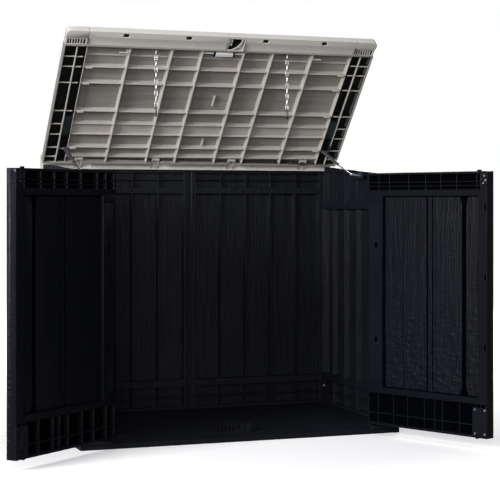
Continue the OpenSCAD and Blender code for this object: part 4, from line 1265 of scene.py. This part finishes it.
def turned(start, way, length, radius, presses, width, name, sides=32, steps=2):
    """A round piece whose ends are pressed in or drawn out and whose edges are rounded."""
    drum(start, way, length, radius, sides, name)
    for test, rim, draft, depth in presses:
        press(test, rim, draft, depth)
    return soften(shut(), width, steps)


class BOX_OT_chains(bpy.types.Operator):
    """Hangs the two short chains and their spring clips on the lid's hooks"""

    bl_idname = "box.chains"
    bl_label = "Chains and clips"

    def execute(self, context):
        rounded_copy("lid_hooks", "lid_hooks_round", "lid", "chain", 1.0)
        for body in ("chain_left", "chain_right"):
            low, high = box_of(body)
            pin = Vector(hinge_places[body + "_swing"]["pos_m"]) / MM
            width, pitch = high.x - low.x, LINK_LENGTH - 2 * WIRE - GAP
            links = []
            for i in range(LINKS):
                place = (pin.x, pin.y, high.z - width / 2 - i * pitch)
                turn = (0, 0, 0 if i % 2 else math.pi / 2)
                links.append(put(link(LINK_LENGTH, width, WIRE), place, turn))
            dress(gather(links, body + "_links"), body, "chain", [body])
            low, high = box_of(body + "_clip")
            middle, width = (low + high) / 2, high.y - low.y
            ring = link(high.z - low.z, width, CLIP_WIRE, 16)
            put(ring, (middle.x, middle.y, high.z - width / 2), (0, 0, math.pi / 2))
            start = (middle.x, high.y - 2.4, low.z + 14)
            gate = turned(start, (0, 0, 1), 16, 2.2, [(facing(Z), 1, 0.5, -1)], 0.5, "gate", 20)
            clip = gather([ring, gate], body + "_spring_clip")
            dress(clip, body, "clip", [body + "_clip"])
        return {"FINISHED"}


class BOX_OT_struts(bpy.types.Operator):
    """Models the gas struts that hold the lid open, with their brackets and studs"""

    bl_idname = "box.struts"
    bl_label = "Gas struts"

    def execute(self, context):
        foot = Vector(hinge_places["strut_right_pivot"]["pos_m"]) / MM
        # The upper stud's place on the lid, turned with the open lid
        turn, y, z = math.radians(-LID_OPEN), -75, -20
        top_y = lid_pin.y + y * math.cos(turn) - z * math.sin(turn)
        top_z = lid_pin.z + y * math.sin(turn) + z * math.cos(turn)
        top = Vector((foot.x, top_y, top_z))
        length, way = (top - foot).length, (top - foot).normalized()
        ahead = lambda middle, normal: normal.dot(way) > 0.9
        behind = lambda middle, normal: normal.dot(way) < -0.9
        hole = [(facing(X), 2, 0.5, 1)]
        across_x = Vector((1, 0, 0))
        for side, s in (("left", -1), ("right", 1)):
            top.x = foot.x = s * abs(foot.x)
            ends = [(ahead, 2.5, 1, -5), (behind, 1.2, 0.6, 2)]
            tube = turned(top - way * 190, way, 178, 8, ends, 0.9, "strut_tube", 40, 3)
            eye = turned(top - across_x * 8.5, across_x, 17, 7.5, hole, 0.6, "strut_eye")
            cylinder, body = gather([tube, eye], f"strut_{side}_cylinder"), f"strut_{side}_tube"
            dress(cylinder, body, "tube", [body])
            rod = turned(foot, way, length - 70, 4, [(ahead, 1, 0.4, 1)], 0.4, "strut_rod")
            neck = turned(foot, way, 22, 6, [(ahead, 1.5, 0.5, -2)], 0.8, "strut_neck")
            ball = turned(foot - across_x * 6.5, across_x, 13, 7.5, hole, 0.6, "strut_foot")
            piston, body = gather([rod, neck, ball], f"strut_{side}_piston"), f"strut_{side}_rod"
            dress(piston, body, "rod", [body])
            rounded_copy(f"lid_bracket_{side}", f"strut_bracket_{side}", "lid", "bracket", 0.9)
        paint("lid_studs", "rod")
        return {"FINISHED"}


class BOX_OT_stage(bpy.types.Operator):
    """Sets the pale floor, the soft light and the camera"""

    bl_idname = "box.stage"
    bl_label = "Stage"

    def execute(self, context):
        bpy.ops.object.select_all(action="DESELECT")
        bpy.ops.mesh.primitive_plane_add(size=30, location=(0, 0, -0.0005))
        floor = bpy.context.object
        floor.name = "floor"
        bpy.ops.object.transform_apply(location=True, rotation=True, scale=True)
        pale = Finish("pale_floor")
        away = pale.node("ShaderNodeVectorMath", {"operation": "LENGTH"}, {0: pale.place})
        reach = Amount(pale, away.outputs["Value"])
        pale.shade(
            Base_Color=(0.8, 0.8, 0.81, 1), Roughness=0.8, Specular_IOR_Level=0.1,
            Emission_Color=pale.blend(pale.shaped(reach, 1.1, 2.8), (0.3, 0.3, 0.31, 1), (1, 1, 1, 1)),
            Emission_Strength=0.9, Normal=pale.bump(pale.noise(5, detail=2), 0.0002),
        )
        floor.data.materials.append(pale.material)
        floor.visible_diffuse = floor.visible_glossy = False
        world = bpy.data.worlds.new("soft_light")
        context.scene.world = world
        world.use_nodes = True
        tree = world.node_tree
        sky = tree.nodes["Background"]
        sky.inputs[0].default_value = (1.0, 1.0, 1.0, 1)
        # White behind the box, and a dim light on it
        path, level = tree.nodes.new("ShaderNodeLightPath"), tree.nodes.new("ShaderNodeMix")
        level.inputs["A"].default_value, level.inputs["B"].default_value = 0.17, 1.0
        tree.links.new(path.outputs["Is Camera Ray"], level.inputs["Factor"])
        tree.links.new(level.outputs["Result"], sky.inputs[1])
        for name, where, aim, energy, size in (
            ("key_light", (-6.0, -3.4, 2.6), (0, -0.2, 1.1), 620, 2.4),
            ("front_light", (-2.6, -6.2, 2.0), (0, 0, 1.3), 165, 2.5),
            ("top_light", (0.0, -1.0, 6.5), (0, -0.6, 0), 90, 3.0),
            ("back_light", (4.8, 5.6, 3.4), (0, 0.2, 0.8), 320, 3.0),
        ):
            bpy.ops.object.light_add(type="AREA", location=where)
            lamp = bpy.context.object
            lamp.name = name
            lamp.data.energy, lamp.data.size = energy, size
            lamp.rotation_euler = (Vector(aim) - Vector(where)).to_track_quat("-Z", "Y").to_euler()
        turn = (math.radians(90), 0, math.radians(-20.44))
        bpy.ops.object.camera_add(location=(-2.2139, -6.3908, 1.0131), rotation=turn)
        camera = bpy.context.object
        camera.data.lens, camera.data.sensor_width = 106.84, 36.0
        camera.data.shift_y = -0.0884
        context.scene.camera = camera
        context.scene.view_settings.view_transform = "Standard"
        return {"FINISHED"}


OPERATORS = (
    BOX_OT_tray, BOX_OT_walls, BOX_OT_posts, BOX_OT_back, BOX_OT_rear_bar, BOX_OT_body_fittings,
    BOX_OT_door_shells, BOX_OT_door_frames, BOX_OT_door_planks, BOX_OT_door_trim,
    BOX_OT_lid_shell, BOX_OT_lid_ribs, BOX_OT_front_rail, BOX_OT_corner_caps, BOX_OT_lock,
    BOX_OT_chains, BOX_OT_struts, BOX_OT_stage,
)


class BOX_PT_panel(bpy.types.Panel):
    """Lists the pieces of the storage box"""

    bl_idname = "BOX_PT_panel"
    bl_label = "Storage Box"
    bl_space_type = "VIEW_3D"
    bl_region_type = "UI"
    bl_category = "Storage Box"

    def draw(self, context):
        for look in (context.scene.box_body, context.scene.box_lid, context.scene.box_metal):
            for name in look.bl_rna.properties.keys():
                if name not in ("name", "rna_type"):
                    self.layout.prop(look, name)
        for operator in OPERATORS:
            self.layout.operator(operator.bl_idname)


LOOKS = {"box_body": BodyLook, "box_lid": LidLook, "box_metal": MetalLook}


def register():
    """Registers the looks, the operators and the panel."""
    for name, look in LOOKS.items():
        bpy.utils.register_class(look)
        setattr(bpy.types.Scene, name, PointerProperty(type=look))
    for operator in OPERATORS + (BOX_PT_panel,):
        bpy.utils.register_class(operator)


def unregister():
    """Takes them all out again."""
    for operator in reversed(OPERATORS + (BOX_PT_panel,)):
        bpy.utils.unregister_class(operator)
    for name, look in LOOKS.items():
        delattr(bpy.types.Scene, name)
        bpy.utils.unregister_class(look)


def main():
    """Builds the whole scene."""
    register()
    mix_finishes(bpy.context)
    for operator in OPERATORS:
        group, name = operator.bl_idname.split(".")
        getattr(getattr(bpy.ops, group), name)()


if __name__ == "__main__":
    main()
